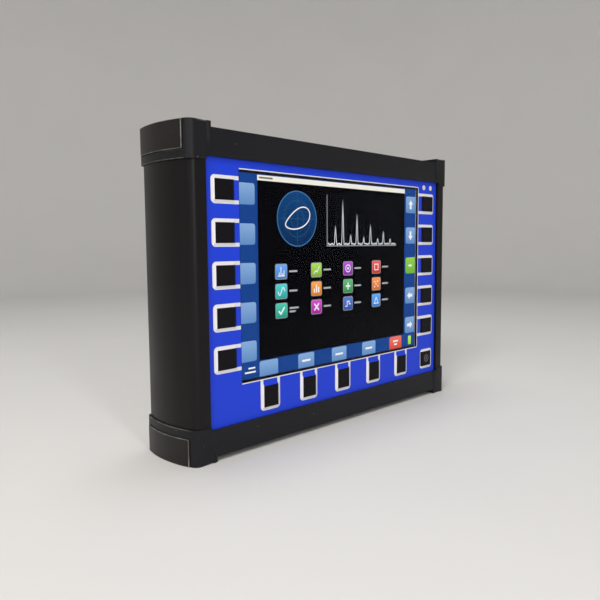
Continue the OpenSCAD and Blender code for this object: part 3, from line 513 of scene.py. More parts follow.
def keypad_material(keypad, name="keypad_film"):
    """Matte printed film: blue ground, pale frames and the dark line beside the window."""
    found, nodes, shader = new_material(name)
    printed = nodes.group("Keypad Print").outputs
    grained = nodes.group("Fine Grain", grain_scale=2600.0, cloud_scale=9.0, contrast=0.5).outputs
    shades = [tuple(c * share for c in keypad.film_colour) for share in (0.9, 1.1)]
    blue = nodes.mix(grained["Tone"], *shades)
    base = nodes.mix(printed["Frames"], blue, tuple(keypad.frame_colour))
    base = nodes.mix(printed["Line"], base, tuple(keypad.line_colour))
    loose = nodes.group("Dust", amount=0.25, speck_scale=150.0).outputs
    base = nodes.mix(loose["Mask"], base, linear(170, 180, 210))
    nodes.put(shader.inputs["Base Color"], base)
    nodes.put(shader.inputs["Roughness"], nodes.spread(loose["Smudge"], 0.42, 0.48))
    shader.inputs["Specular IOR Level"].default_value = 0.25
    bump = nodes.add("ShaderNodeBump", {"Strength": 0.5, "Distance": 0.00001, "Height": grained["Height"]})
    nodes.put(shader.inputs["Normal"], bump.outputs[0])
    return found


# Meshes


def cad_copy(node):
    """A copy of a CAD node, whose loose triangles are merged into whole faces."""
    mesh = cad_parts[node].data.copy()
    if "custom_normal" in mesh.attributes:
        mesh.attributes.remove(mesh.attributes["custom_normal"])
    mesh.materials.clear()
    whole = bmesh.new()
    whole.from_mesh(mesh)
    bpy.data.meshes.remove(mesh)
    bmesh.ops.remove_doubles(whole, verts=whole.verts, dist=2e-6)
    bmesh.ops.dissolve_limit(
        whole, angle_limit=math.radians(0.6), use_dissolve_boundaries=False, verts=whole.verts,
        edges=whole.edges,
    )
    for face in whole.faces:
        face.smooth = True
        face.material_index = 0
    return whole


def edge_layer(bm):
    """The attribute that says how close to a rounded edge a point is."""
    return bm.verts.layers.float.get("edge") or bm.verts.layers.float.new("edge")


def soften(bm, width, wanted, segments=3, clamp=True):
    """Rounds the sharp edges that wanted(first, second) picks, and marks their middle for the edge mask of
    rubbed wear and painted highlight.
    """
    layer = edge_layer(bm)
    bm.normal_update()
    picked = [
        e for e in bm.edges
        if len(e.link_faces) == 2 and e.calc_face_angle(0) > SHARP
        and wanted(e.verts[0].co / MM, e.verts[1].co / MM)
    ]
    if not picked:
        raise RuntimeError("no edge to round")
    made = bmesh.ops.bevel(
        bm, geom=picked, offset=width, offset_type="OFFSET", segments=segments, profile=0.5, affect="EDGES",
        clamp_overlap=clamp, loop_slide=True,
    )
    faces = set(made["faces"])
    for vert in made["verts"]:
        if vert.is_valid and all(f in faces for f in vert.link_faces):
            vert[layer] = 1.0


def near(value, wanted):
    """Whether two places in millimetres are the same."""
    return abs(value - wanted) < TOUCH


def both(test):
    """A test of an edge, which holds where the test of a point holds at both ends."""
    return lambda first, second: test(first) and test(second)


def cut(bm, place, way):
    """Adds edges where the plane through that place, square to that way, crosses the mesh."""
    bmesh.ops.bisect_plane(
        bm, geom=[*bm.verts, *bm.edges, *bm.faces], dist=1e-7, plane_co=place, plane_no=way
    )


def bridge(bm, first, second):
    """Joins two rings of as many points by faces, and returns these."""
    made = []
    for i in range(len(first)):
        j = (i + 1) % len(first)
        made.append(bm.faces.new((first[i], second[i], second[j], first[j])))
    return made


def to_mesh(bm, name, materials=(), sharp=SHARP):
    """The finished mesh, smooth but for its sharp edges."""
    edge_layer(bm)
    bmesh.ops.dissolve_degenerate(bm, dist=1e-7, edges=bm.edges)
    mesh = bpy.data.meshes.new(name)
    bm.to_mesh(mesh)
    bm.free()
    for found in materials:
        mesh.materials.append(found)
    mesh.shade_smooth()
    mesh.set_sharp_from_angle(angle=sharp)
    return mesh


def add_piece(name, mesh, body, replaces=(), weighted=True):
    """Puts a finished mesh in the scene, riding on its body unless that is None."""
    made = bpy.data.objects.new(name, mesh)
    bpy.context.scene.collection.objects.link(made)
    if weighted:
        modifier = made.modifiers.new("Even normals", "WEIGHTED_NORMAL")
        modifier.keep_sharp = True
        modifier.weight = 80
        graph = bpy.context.evaluated_depsgraph_get()
        whole = bpy.data.meshes.new_from_object(
            made.evaluated_get(graph), preserve_all_data_layers=True, depsgraph=graph
        )
        made.modifiers.clear()
        made.data = whole
        whole.name = name
        bpy.data.meshes.remove(mesh)
    if body:
        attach(made, body)
    if replaces:
        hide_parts(*replaces)
    return made


def dress(node, bm, name, slot, *finishes):
    """Puts a mesh with these finishes in the place of one of the housing's CAD nodes."""
    add_piece(name, to_mesh(bm, node, [finish_of(f) for f in finishes]), HOUSING, [node])


def set_finish(node, name):
    """Gives a CAD node one of the finishes."""
    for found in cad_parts[node].material_slots:
        found.material = finish_of(name)


def rounded_rect(half_w, half_h, corner):
    """Points of a rounded rectangle about the origin, in order."""
    steps = 5
    points = []
    for turn, (sx, sz) in enumerate(((1, 1), (-1, 1), (-1, -1), (1, -1))):
        for i in range(steps + 1):
            a = math.radians(90 * turn + 90 * i / steps)
            points.append((
                sx * (half_w - corner) + corner * math.cos(a), sz * (half_h - corner) + corner * math.sin(a)
            ))
    return points


def lathe(bm, profile, steps):
    """Turns a profile of (radius, height) about the Z axis."""
    rings = []
    for radius, height in profile:
        if radius <= 1e-9:
            rings.append([bm.verts.new((0, 0, height))])
            continue
        ring = []
        for i in range(steps):
            a = 2 * math.pi * i / steps
            ring.append(bm.verts.new((radius * math.cos(a), radius * math.sin(a), height)))
        rings.append(ring)
    for low, high in zip(rings, rings[1:]):
        for i in range(steps):
            j = (i + 1) % steps
            corners = [low[i % len(low)], low[j % len(low)], high[j % len(high)], high[i % len(high)]]
            unique = list(dict.fromkeys(corners))
            if len(unique) > 2:
                bm.faces.new(unique)


def repeat_on_points(name, part_mesh, points, finish, replaces, turn, seed):
    """Geometry Nodes: one part on each point, turned about Z at random within turn, as one plain mesh."""
    tree = bpy.data.node_groups.new(f"{name} on points", "GeometryNodeTree")
    ports = {}
    for label, kind in (("Geometry", "Geometry"), ("Part", "Object"), ("Turn", "Float"), ("Seed", "Int"),
                        ("Finish", "Material")):
        ports[label] = tree.interface.new_socket(name=label, in_out="INPUT", socket_type=f"NodeSocket{kind}")
    tree.interface.new_socket(name="Geometry", in_out="OUTPUT", socket_type="NodeSocketGeometry")
    link = tree.links.new
    given = tree.nodes.new("NodeGroupInput").outputs
    out = tree.nodes.new("NodeGroupOutput").inputs
    part = tree.nodes.new("GeometryNodeObjectInfo")
    link(given["Part"], part.inputs["Object"])
    chance = tree.nodes.new("FunctionNodeRandomValue")
    chance.data_type = "FLOAT"
    link(given["Turn"], chance.inputs[3])
    link(given["Seed"], chance.inputs["Seed"])
    angles = tree.nodes.new("ShaderNodeCombineXYZ")
    link(chance.outputs[1], angles.inputs["Z"])
    placed = tree.nodes.new("GeometryNodeInstanceOnPoints")
    link(given["Geometry"], placed.inputs["Points"])
    link(part.outputs["Geometry"], placed.inputs["Instance"])
    link(angles.outputs[0], placed.inputs["Rotation"])
    real = tree.nodes.new("GeometryNodeRealizeInstances")
    link(placed.outputs["Instances"], real.inputs["Geometry"])
    coated = tree.nodes.new("GeometryNodeSetMaterial")
    link(real.outputs["Geometry"], coated.inputs["Geometry"])
    link(given["Finish"], coated.inputs["Material"])
    link(coated.outputs["Geometry"], out["Geometry"])

    part_object = bpy.data.objects.new(f"{name}_part", part_mesh)
    bpy.context.scene.collection.objects.link(part_object)
    cloud = bpy.data.meshes.new(f"{name}_points")
    cloud.from_pydata([tuple(p) for p in points], [], [])
    carrier = bpy.data.objects.new(f"{name}_carrier", cloud)
    bpy.context.scene.collection.objects.link(carrier)
    modifier = carrier.modifiers.new("Repeat", "NODES")
    modifier.node_group = tree
    modifier[ports["Part"].identifier] = part_object
    modifier[ports["Turn"].identifier] = turn
    modifier[ports["Seed"].identifier] = seed
    modifier[ports["Finish"].identifier] = finish
    graph = bpy.context.evaluated_depsgraph_get()
    mesh = bpy.data.meshes.new_from_object(
        carrier.evaluated_get(graph), preserve_all_data_layers=True, depsgraph=graph
    )
    carrier.modifiers.clear()
    for used in (carrier, part_object):
        bpy.data.objects.remove(used)
    if not mesh.polygons:
        raise RuntimeError(f"{name} came out empty")
    mesh.name = name
    add_piece(name, mesh, HOUSING, replaces, weighted=False)


def node_parts(node):
    """The lowest and the highest corner of each separate solid of a node, from left to right."""
    bm = cad_copy(node)
    left = set(bm.verts)
    found = []
    while left:
        stack = [left.pop()]
        island = []
        while stack:
            vert = stack.pop()
            island.append(vert.co.copy())
            for edge in vert.link_edges:
                other = edge.other_vert(vert)
                if other in left:
                    left.remove(other)
                    stack.append(other)
        low = Vector(min(co[i] for co in island) for i in range(3))
        high = Vector(max(co[i] for co in island) for i in range(3))
        found.append((low, high))
    bm.free()
    return sorted(found, key=lambda pair: (round(pair[0].x, 4), round(pair[0].y, 4), pair[0].z))


def key_top(node):
    """Centre X and Z, and half width and half height, of a key's flat top, in millimetres."""
    bm = cad_copy(node)
    front = min(v.co.y for v in bm.verts)
    top = [v.co for v in bm.verts if v.co.y < front + LEVEL]
    low_x, high_x = min(c.x for c in top) / MM, max(c.x for c in top) / MM
    low_z, high_z = min(c.z for c in top) / MM, max(c.z for c in top) / MM
    bm.free()
    return (low_x + high_x) / 2, (low_z + high_z) / 2, (high_x - low_x) / 2, (high_z - low_z) / 2


def flat_ring(bm, outer, inner, depth, y):
    """A flat printed ring in the front plane: outer and inner are point lists of the same length."""
    rows = []
    for points, level in ((outer, y), (outer, y - depth), (inner, y - depth), (inner, y)):
        rows.append([bm.verts.new((x * MM, level * MM, z * MM)) for x, z in points])
    for low, high in zip(rows, rows[1:] + rows[:1]):
        bridge(bm, low, high)


# The pieces


class METER_OT_finishes(bpy.types.Operator):
    """Build the shader groups and every finish of the meter"""

    bl_idname = "vibration_meter.finishes"
    bl_label = "Finishes"

    def execute(self, context):
        given = context.scene.vibration_meter
        case, keypad, sockets = given.case, given.keypad, given.connectors
        groups = (build_grain_group, build_lines_group, build_wear_and_highlight_group, build_dust_group, build_field_group)
        for build in groups:
            build()
        low, high = (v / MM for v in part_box("display_window"))
        window = {
            "x": (low.x + high.x) / 2, "z": (low.z + high.z) / 2, "half_w": (high.x - low.x) / 2,
            "half_h": (high.z - low.z) / 2, "low": low.z,
        }
        centre = {n: key_top(n) for n in ALL_KEYS}
        stroke = keypad.frame_stroke / MM
        side_first, side_next = centre["key_left_5"], centre["key_left_4"]
        foot_first, foot_next = centre["key_bottom_1"], centre["key_bottom_2"]
        # the power key's frame lies a little further right and down than the key
        power, shift = centre["key_power"], 0.2
        build_print_group(
            keypad, window,
            {"first": side_first[1], "pitch": side_next[1] - side_first[1], "count": 5,
             "outer": abs(side_first[0]) + side_first[2] + stroke, "half": side_first[3] + stroke},
            {"first": foot_first[0], "pitch": foot_next[0] - foot_first[0], "count": 5,
             "outer": foot_first[1] - foot_first[3] - stroke, "half": foot_first[2] + stroke},
            {"x": power[0] + shift, "z": power[1] - shift, "half_w": power[2] + stroke,
             "half_h": power[3] + stroke - shift},
        )
        wear_and_highlight, dust = case.wear_and_highlight, case.dust
        # the pale worn colours on the rounded edges are partly rubbed wear, partly a painted highlight
        finish_material("tube_anodised", tuple(case.tube_colour), 0.34, specular=0.2, grain=2400.0,
                        depth=0.000008, wear_and_highlight=wear_and_highlight, worn_and_highlight_colour=linear(120, 118, 116), dust=dust, lines=0.6)
        finish_material("cap_moulding", tuple(case.cap_colour), 0.42, specular=0.2, grain=1500.0,
                        depth=0.00008, contrast=1.0, wear_and_highlight=wear_and_highlight, worn_and_highlight_colour=linear(128, 125, 122), dust=dust)
        finish_material("insert_coat", tuple(case.insert_colour), 0.38, specular=0.24, grain=1900.0,
                        depth=0.00006, contrast=1.0, wear_and_highlight=wear_and_highlight, worn_and_highlight_colour=linear(168, 164, 158), dust=dust)
        finish_material("plate_coat", tuple(case.plate_colour), 0.5, specular=0.22, grain=2200.0, dust=dust)
        finish_material("screw_steel", tuple(case.screw_colour), 0.34, metallic=0.9, grain=3000.0,
                        depth=0.000005, wear_and_highlight=wear_and_highlight, worn_and_highlight_colour=linear(190, 188, 184))
        finish_material("seal_rubber", tuple(case.rubber_colour), 0.72, grain=1300.0, depth=0.00003)
        finish_material("key_top_print", tuple(keypad.key_colour), 0.46, specular=0.1, grain=2600.0,
                        depth=0.00001, dust=0.25)
        finish_material("key_plastic", linear(30, 30, 32), 0.5, grain=1900.0)
        finish_material("symbol_print", tuple(keypad.glyph_colour), 0.45, grain=2600.0, depth=0.00001)
        finish_material("nickel_plate", tuple(sockets.nickel_colour), 0.24, metallic=1.0, grain=900.0,
                        depth=0.000004, contrast=0.8, dust=0.15)
        finish_material("sheet_steel", tuple(sockets.steel_colour), 0.33, metallic=1.0, grain=1400.0,
                        depth=0.000006, contrast=0.7)
        finish_material("gold_plate", tuple(sockets.brass_colour), 0.26, metallic=1.0, grain=900.0,
                        depth=0.000004)
        finish_material("white_plastic", tuple(sockets.plastic_colour), 0.45, grain=1600.0)
        finish_material("black_plastic", linear(24, 24, 26), 0.42, grain=1700.0)
        finish_material("board_green", linear(24, 84, 52), 0.38, grain=700.0, cloud=400.0, contrast=1.0)
        finish_material("board_blue", linear(22, 52, 120), 0.38, grain=700.0, cloud=400.0, contrast=1.0)
        finish_material("battery_wrap", linear(38, 60, 92), 0.36, grain=500.0, depth=0.00001)
        finish_material("ribbon_film", linear(196, 128, 44), 0.36, grain=900.0, cloud=300.0, contrast=0.9)
        finish_material("lcd_metal", linear(120, 122, 124), 0.36, metallic=0.8, grain=1600.0)
        # pale grey of the border ring's right strip: painted light standing for the lit side wall of the
        # window's recess
        finish_material("window_border", linear(150, 144, 140), 0.5, grain=2400.0)
        finish_material("window_mask", tuple(keypad.line_colour), 0.5, specular=0.2, grain=2400.0)
        finish_material("lens_white", linear(214, 216, 218), 0.28, grain=2500.0, depth=0.000006, coat=0.4)
        glass_material("window_glass")
        glow_material("lit_picture", given.display.glow)
        keypad_material(keypad)
        return {"FINISHED"}


class METER_OT_tube(bpy.types.Operator):
    """Dress the extruded tube"""

    bl_idname = "vibration_meter.tube"
    bl_label = "Tube"

    def execute(self, context):
        case = context.scene.vibration_meter.case
        bm = cad_copy("housing_profile")
        front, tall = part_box("housing_profile")[0].y, 50
        across = [abs(v.co.x) / MM for v in bm.verts if v.co.y < front + LEVEL]
        rim, step = max(across), min(across)
        if rim <= step:
            raise RuntimeError("the tube has no rim beside its recess")

        def upright(a, b):
            return near(abs(a.x), step) and near(abs(b.x), step) and abs(a.z - b.z) > tall

        soften(bm, case.small_round, upright)
        dress("housing_profile", bm, "tube", "black_anodised", "tube_anodised")
        return {"FINISHED"}


class METER_OT_end_caps(bpy.types.Operator):
    """Dress both end caps with rounded rims"""

    bl_idname = "vibration_meter.end_caps"
    bl_label = "End caps"

    def execute(self, context):
        for node in ("top_end_cap", "bottom_end_cap"):
            dress_end_cap(node, context.scene.vibration_meter.case)
        return {"FINISHED"}


def dress_end_cap(node, case):
    """Rounds one end cap. A depth runs from its outer face towards the tube, in millimetres."""
    upper = node.startswith("top")
    low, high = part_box(node)
    face = high.y / MM
    inner_x, lip_x, arc_r = 118.7, 122.5, 76.1
    bar_y, bar_near, bar_far, block_h = 26.8, 3.3, 20.1, 22.5
    pocket_y, pocket_h = 23, 17.8
    bore_x, bore_y, bore_r = 130, 16, 3.7
    slack = 0.1

    def depth(p):
        return high.z / MM - p.z if upper else p.z - low.z / MM

    def past_arc(p):
        return math.hypot(abs(p.x) - ARC_X, p.y) > arc_r

    def on_block(p):
        return abs(p.x) > lip_x - TOUCH and (abs(p.y) > face - slack or past_arc(p))

    def on_rim(p):
        return near(depth(p), 0) and on_block(p) and abs(p.y) > pocket_y - slack / 2

    def on_lip(p):
        return near(depth(p), block_h) and on_block(p)

    def on_bar(p):
        return near(abs(p.y), bar_y) and abs(p.x) < inner_x + TOUCH

    def bar_edge(a, b):
        level = near(depth(a), bar_near) or near(depth(a), bar_far)
        return near(depth(a), depth(b)) and level and on_bar(a) and on_bar(b)

    def in_well(p):
        return near(depth(p), bar_near) and abs(p.x) < WELL_X + slack and abs(p.y) < WELL_Y + slack

    def on_bore(p):
        off = math.hypot(abs(p.x) - bore_x, abs(p.y) - bore_y) - bore_r
        return near(depth(p), 0) and abs(off) < slack

    def in_pocket(p):
        return past_arc(p) and abs(p.y) < pocket_y + 2 * slack and depth(p) < pocket_h

    bm = cad_copy(node)
    for side in (-1, 1):
        cut(bm, (side * lip_x * MM, 0, 0), (1, 0, 0))
    for vert in bm.verts:
        if near(abs(vert.co.x) / MM, inner_x) and abs(vert.co.y) / MM > face - TOUCH:
            vert.co.y -= math.copysign(case.block_slope, vert.co.y)
    soften(bm, case.rim_round, both(on_rim), clamp=False)
    soften(bm, case.lip_round, both(on_lip), clamp=False)
    soften(bm, case.bar_round, bar_edge)
    for test in (in_well, on_bore, in_pocket):
        soften(bm, case.small_round, both(test), segments=2)
    for vert in bm.verts:
        vert.co.z = min(max(vert.co.z, low.z), high.z)
    dress(node, bm, node.replace("end_cap", "cap"), "charcoal_cap", "cap_moulding")


class METER_OT_corner_inserts(bpy.types.Operator):
    """Dress the four pads on the corner blocks"""

    bl_idname = "vibration_meter.corner_inserts"
    bl_label = "Corner inserts"

    def execute(self, context):
        for row in ("top", "bottom"):
            for side in ("left", "right"):
                dress_insert(f"{row}_{side}_insert", context.scene.vibration_meter.case)
        return {"FINISHED"}


def dress_insert(node, case):
    """Rounds one corner pad: its two corners beside the tube, then the slope round its outer face."""
    corner_round, band = 1.3 * MM, 0.03
    bm = cad_copy(node)
    low, high = (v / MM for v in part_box(node))
    inner = low.z if node.startswith("top") else high.z
    reach = max(math.hypot(abs(v.co.x) / MM - ARC_X, v.co.y / MM) for v in bm.verts)
    soften(bm, corner_round, both(lambda p: near(p.z, inner) and near(abs(p.y), high.y)), segments=2)
    soften(bm, case.insert_round, both(lambda p: math.hypot(abs(p.x) - ARC_X, p.y) > reach - band))
    dress(node, bm, node.replace("insert", "pad"), "insert_coat", "insert_coat")


class METER_OT_plates(bpy.types.Operator):
    """Finish the end plates and the seals"""

    bl_idname = "vibration_meter.plates"
    bl_label = "End plates and seals"

    def execute(self, context):
        case = context.scene.vibration_meter.case
        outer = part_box("connector_plate")[1].z / MM

        def on_bore(p):
            return near(p.z, outer) and abs(p.x) < WELL_X and abs(p.y) < WELL_Y

        for node in ("connector_plate", "bottom_plate"):
            bm = cad_copy(node)
            if node == "connector_plate":
                soften(bm, case.small_round, both(on_bore), segments=2)
            dress(node, bm, node.replace("_plate", "_panel"), "plate_coat", "plate_coat")
        for node in ("top_seal", "bottom_seal", "display_gasket"):
            set_finish(node, "seal_rubber")
        return {"FINISHED"}


class METER_OT_cap_screws(bpy.types.Operator):
    """Put the eight socket screws in their counterbores"""

    bl_idname = "vibration_meter.cap_screws"
    bl_label = "Cap screws"

    def execute(self, context):
        given = context.scene.vibration_meter
        found = node_parts("cap_screws")
        if len(found) != 8:
            raise RuntimeError(f"{len(found)} cap screws in the frame, where eight are expected")
        middle = (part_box("cap_screws")[0].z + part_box("cap_screws")[1].z) / 2
        for name, upper in (("upper_screws", True), ("lower_screws", False)):
            rows = [pair for pair in found if (pair[0].z > middle) == upper]
            low, high = rows[0]
            radius, height = (high.x - low.x) / 2, high.z - low.z
            part = socket_screw(radius, height, upper)
            places = [((a.x + b.x) / 2, (a.y + b.y) / 2, b.z if upper else a.z) for a, b in rows]
            repeat_on_points(
                name, part, places, finish_of("screw_steel"), ["cap_screws"] if upper else [],
                turn=math.pi, seed=given.connectors.screw_turn_seed + upper,
            )
        return {"FINISHED"}


def socket_screw(radius, height, upper):
    """A socket head screw, with the head's outer face at the origin, a knurled head and a hexagon socket."""
    flutes, head, shank = 48, 4 * MM, 2 * MM
    groove, mouth, chamfer = 0.97, 1.08, 0.15 * MM
    tip_length, tip_share, drill_tip = 0.6 * MM, 0.75, 0.5 * MM
    turns = [2 * math.pi * i / flutes for i in range(flutes)]
    bm = bmesh.new()
    layer = edge_layer(bm)

    def ring(radii, level):
        return [bm.verts.new((r * math.cos(a), r * math.sin(a), level)) for r, a in zip(radii, turns)]

    # each ring of the head: millimetres below its outer face, share of its radius, knurled, marked for rubbed
    # wear and painted highlight
    rings = []
    for level, share, knurled, rubbed_and_highlit in (
        (0.0, 0.86, False, 0.0), (0.25, 0.97, False, 1.0), (0.5, 1.0, True, 0.0), (3.8, 1.0, True, 0.0),
        (4.0, 0.97, False, 0.0),
    ):
        radii = [radius * share * (groove if i % 2 and knurled else 1.0) for i in range(flutes)]
        rings.append(ring(radii, -level * MM))
        for vert in rings[-1]:
            vert[layer] = rubbed_and_highlit
    for r, level in ((shank, -head), (shank, -height + tip_length), (shank * tip_share, -height)):
        rings.append(ring([r] * flutes, level))
    for first, second in zip(rings, rings[1:]):
        bridge(bm, first, second)
    bm.faces.new(rings[-1][::-1])
    sixth = math.pi / 3
    offs = [(a + sixth / 2) % sixth - sixth / 2 for a in turns]
    hexagon = [radius / 2 * math.cos(sixth / 2) / math.cos(off) for off in offs]
    inner = [ring([r * mouth for r in hexagon], 0.0), ring(hexagon, -chamfer), ring(hexagon, -head / 2)]
    for first, second in zip([rings[0], *inner], inner):
        bridge(bm, first[::-1], second[::-1])
    tip = bm.verts.new((0, 0, -head / 2 - drill_tip))
    for i in range(flutes):
        bm.faces.new((inner[-1][(i + 1) % flutes], tip, inner[-1][i]))
    if not upper:
        bmesh.ops.rotate(bm, verts=bm.verts, matrix=Matrix.Rotation(math.pi, 3, "X"))
    bmesh.ops.recalc_face_normals(bm, faces=bm.faces)
    return to_mesh(bm, "socket_screw", sharp=math.radians(35))


class METER_OT_keypad_film(bpy.types.Operator):
    """Dress the printed film"""

    bl_idname = "vibration_meter.keypad_film"
    bl_label = "Keypad film"

    def execute(self, context):
        edge_round = 0.2 * MM
        bm = cad_copy("keypad_overlay")
        low, high = (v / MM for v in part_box("keypad_overlay"))

        def border(a, b):
            on_face = near(a.y, low.y) and near(b.y, low.y)
            on_side = any(near(a.x, edge) and near(b.x, edge) for edge in (low.x, high.x))
            on_end = any(near(a.z, edge) and near(b.z, edge) for edge in (low.z, high.z))
            return on_face and (on_side or on_end)

        soften(bm, edge_round, border, segments=2)
        dress("keypad_overlay", bm, "keypad_film", "blue_film", "keypad_film")
        return {"FINISHED"}


class METER_OT_keys(bpy.types.Operator):
    """Emboss the film over every key"""

    bl_idname = "vibration_meter.keys"
    bl_label = "Keys"

    def execute(self, context):
        keypad = context.scene.vibration_meter.keypad
        films = [finish_of("keypad_film"), finish_of("key_top_print")]
        for node in ALL_KEYS:
            x, z = (place * MM for place in key_top(node)[:2])
            mesh = to_mesh(key_dome(node, keypad), f"{node}_film", films, sharp=math.radians(60))
            dome = add_piece(f"{node}_film", mesh, body=None, weighted=False)
            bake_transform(dome)
            set_finish(node, "key_plastic")
        add_power_symbol(keypad.skin / MM)
        return {"FINISHED"}


def key_dome(node, keypad):
    """The film over a key: rings that rise to its flat top, in blue and in the dark print."""
    x, z, half_w, half_h = key_top(node)
    face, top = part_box("keypad_overlay")[0].y / MM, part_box(node)[0].y / MM
    skin, slope = keypad.skin / MM, keypad.slope / MM
    # each ring: how far outside the flat top, height as a share of the rise, corner radius
    rings = [
        (slope + 0.60, -0.05, 0.5), (slope + 0.50, 0.0, 0.5), (slope + 0.22, 0.06, 0.3),
        (slope * 0.96, 0.18, 0.12), (slope * 0.75, 0.36, 0.12), (slope * 0.30, 0.77, 0.12),
        (0.16, 0.96, 0.12), (-0.12, 1.0, 0.2), (-1.2, 1.0, 0.5),
    ]
    first_dark, overlap, facing = 6, 0.12, 0.35
    bm = bmesh.new()
    loops = []
    for out, share, corner in rings:
        y = face - (face - top) * share - skin
        outline = rounded_rect(half_w + out, half_h + out, corner)
        loops.append([bm.verts.new(((x + px) * MM, y * MM, (z + pz) * MM)) for px, pz in outline])
    for k, (outer, inner) in enumerate(zip(loops, loops[1:])):
        for side in bridge(bm, outer, inner):
            side.material_index = int(k >= first_dark)
    flat = bm.faces.new(loops[-1])
    flat.material_index = 1
    bmesh.ops.recalc_face_normals(bm, faces=bm.faces)
    if flat.normal.y > 0:
        bmesh.ops.reverse_faces(bm, faces=bm.faces)
    if node not in BOTTOM_KEYS:
        # the dark print runs down the slope that faces the window, between the top's two edges
        reach = half_h + overlap
        for end in (z - reach, z + reach):
            cut(bm, (0, 0, end * MM), (0, 0, 1))
        bm.normal_update()
        inwards = Vector((-math.copysign(1, x), 0, 0))
        for side in bm.faces:
            if side.normal.dot(inwards) > facing and abs(side.calc_center_median().z / MM - z) < reach:
                side.material_index = 1
    return bm


def add_power_symbol(skin):
    """The mark on the power key: a round ring and a narrow one inside it."""
    x, z = key_top("key_power")[:2]
    top, print_height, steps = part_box("key_power")[0].y / MM - skin, 0.03, 48
    turns = [2 * math.pi * i / steps for i in range(steps)]
    bm = bmesh.new()
    for sizes in (((3.1, 3.1), (2.55, 2.55)), ((0.95, 1.35), (0.45, 0.85))):
        rings = [[(x + wide * math.cos(a), z + high * math.sin(a)) for a in turns] for wide, high in sizes]
        flat_ring(bm, *rings, print_height, top)
    bmesh.ops.recalc_face_normals(bm, faces=bm.faces)
    add_piece("power_symbol", to_mesh(bm, "power_symbol", [finish_of("symbol_print")]), "key_power_body",
              weighted=False)


class Picture:
    """The lit picture, drawn as thin plates in shares of its width (to the right) and height (downwards)."""

    def __init__(self, low, high, back):
        self.left, self.top = low.x, high.z
        self.width, self.height = high.x - low.x, high.z - low.z
        self.back = back
        self.aspect = self.width / self.height
        self.step = 0.012 * MM
        self.thickness = 0.7 * self.step
        self.corner_steps = 6
        self.bm = bmesh.new()
        self.tint = self.bm.verts.layers.float_color.new("tint")

    def plate(self, points, layer, colour, top_colour=None):
        """One plate: its points in order, the layer it lies on, its colour and that of its upper edge."""
        highest, lowest = min(v for _, v in points), max(v for _, v in points)
        rows = []
        for lift in (0.0, self.thickness):
            y = self.back - layer * self.step - lift
            row = []
            for u, v in points:
                vert = self.bm.verts.new((self.left + u * self.width, y, self.top - v * self.height))
                share = (v - highest) / max(lowest - highest, 1e-9)
                mixed = [t + (c - t) * share for c, t in zip(colour, top_colour or colour)]
                vert[self.tint] = (*mixed, 1.0)
                row.append(vert)
            rows.append(row)
        count = len(points)
        faces = [self.bm.faces.new(rows[0]), self.bm.faces.new(list(reversed(rows[1])))]
        for i in range(count):
            j = (i + 1) % count
            faces.append(self.bm.faces.new((rows[0][j], rows[0][i], rows[1][i], rows[1][j])))
        bmesh.ops.recalc_face_normals(self.bm, faces=faces)

    def box(self, left, top, right, bottom, layer, colour, top_colour=None, corner=0.0, square=()):
        """A rectangle, with rounded corners unless they're named in square (0 to 3, from the top right)."""
        if not corner:
            points = [(left, top), (right, top), (right, bottom), (left, bottom)]
            self.plate(points, layer, colour, top_colour)
            return
        points = []
        down = corner * self.aspect
        corners = ((right, top, 1, -1), (left, top, -1, -1), (left, bottom, -1, 1), (right, bottom, 1, 1))
        for k, (u, v, su, sv) in enumerate(corners):
            if k in square:
                points.append((u, v))
                continue
            for i in range(self.corner_steps + 1):
                a = math.radians(90 * i / self.corner_steps)
                c, s = (math.cos(a), math.sin(a)) if k % 2 == 0 else (math.sin(a), math.cos(a))
                points.append((u - su * corner * (1 - c), v - sv * down * (1 - s)))
        self.plate(points, layer, colour, top_colour)

    def disc(self, u, v, radius, layer, colour, top_colour=None, steps=40):
        """A round plate. The radius is a share of the width."""
        turns = [2 * math.pi * i / steps for i in range(steps)]
        points = [(u + radius * math.cos(a), v + radius * self.aspect * math.sin(a)) for a in turns]
        self.plate(points, layer, colour, top_colour)

    def line(self, points, width, layer, colour, closed=False):
        """A line of that width, a share of the picture's width, with mitred bends."""
        flat = [Vector((u, v / self.aspect)) for u, v in points]
        count = len(flat)
        sides = ([], [])
        for i, here in enumerate(flat):
            before = flat[i - 1] if i or closed else None
            after = flat[(i + 1) % count] if i < count - 1 or closed else None
            pairs = ((before, here), (here, after))
            ways = [(b - a).normalized() for a, b in pairs if a is not None and b is not None]
            way = sum(ways, Vector((0, 0))).normalized()
            reach = width / 2 / max(0.5, way.dot(ways[0]))
            across = Vector((-way.y, way.x)) * reach
            for side, sign in zip(sides, (1, -1)):
                moved = here + across * sign
                side.append((moved.x, moved.y * self.aspect))
        last = count if closed else count - 1
        for i in range(last):
            j = (i + 1) % count
            self.plate([sides[0][i], sides[0][j], sides[1][j], sides[1][i]], layer, colour)


def arrow_points(u, v, size, aspect, turn):
    """A plain arrow about a place, turned by quarter turns."""
    shape = [(0, -1), (0.8, -0.1), (0.33, -0.1), (0.33, 0.9), (-0.33, 0.9), (-0.33, -0.1), (-0.8, -0.1)]
    c, s = math.cos(turn * math.pi / 2), math.sin(turn * math.pi / 2)
    return [(u + size * (x * c - y * s), v + size * aspect * (x * s + y * c)) for x, y in shape]


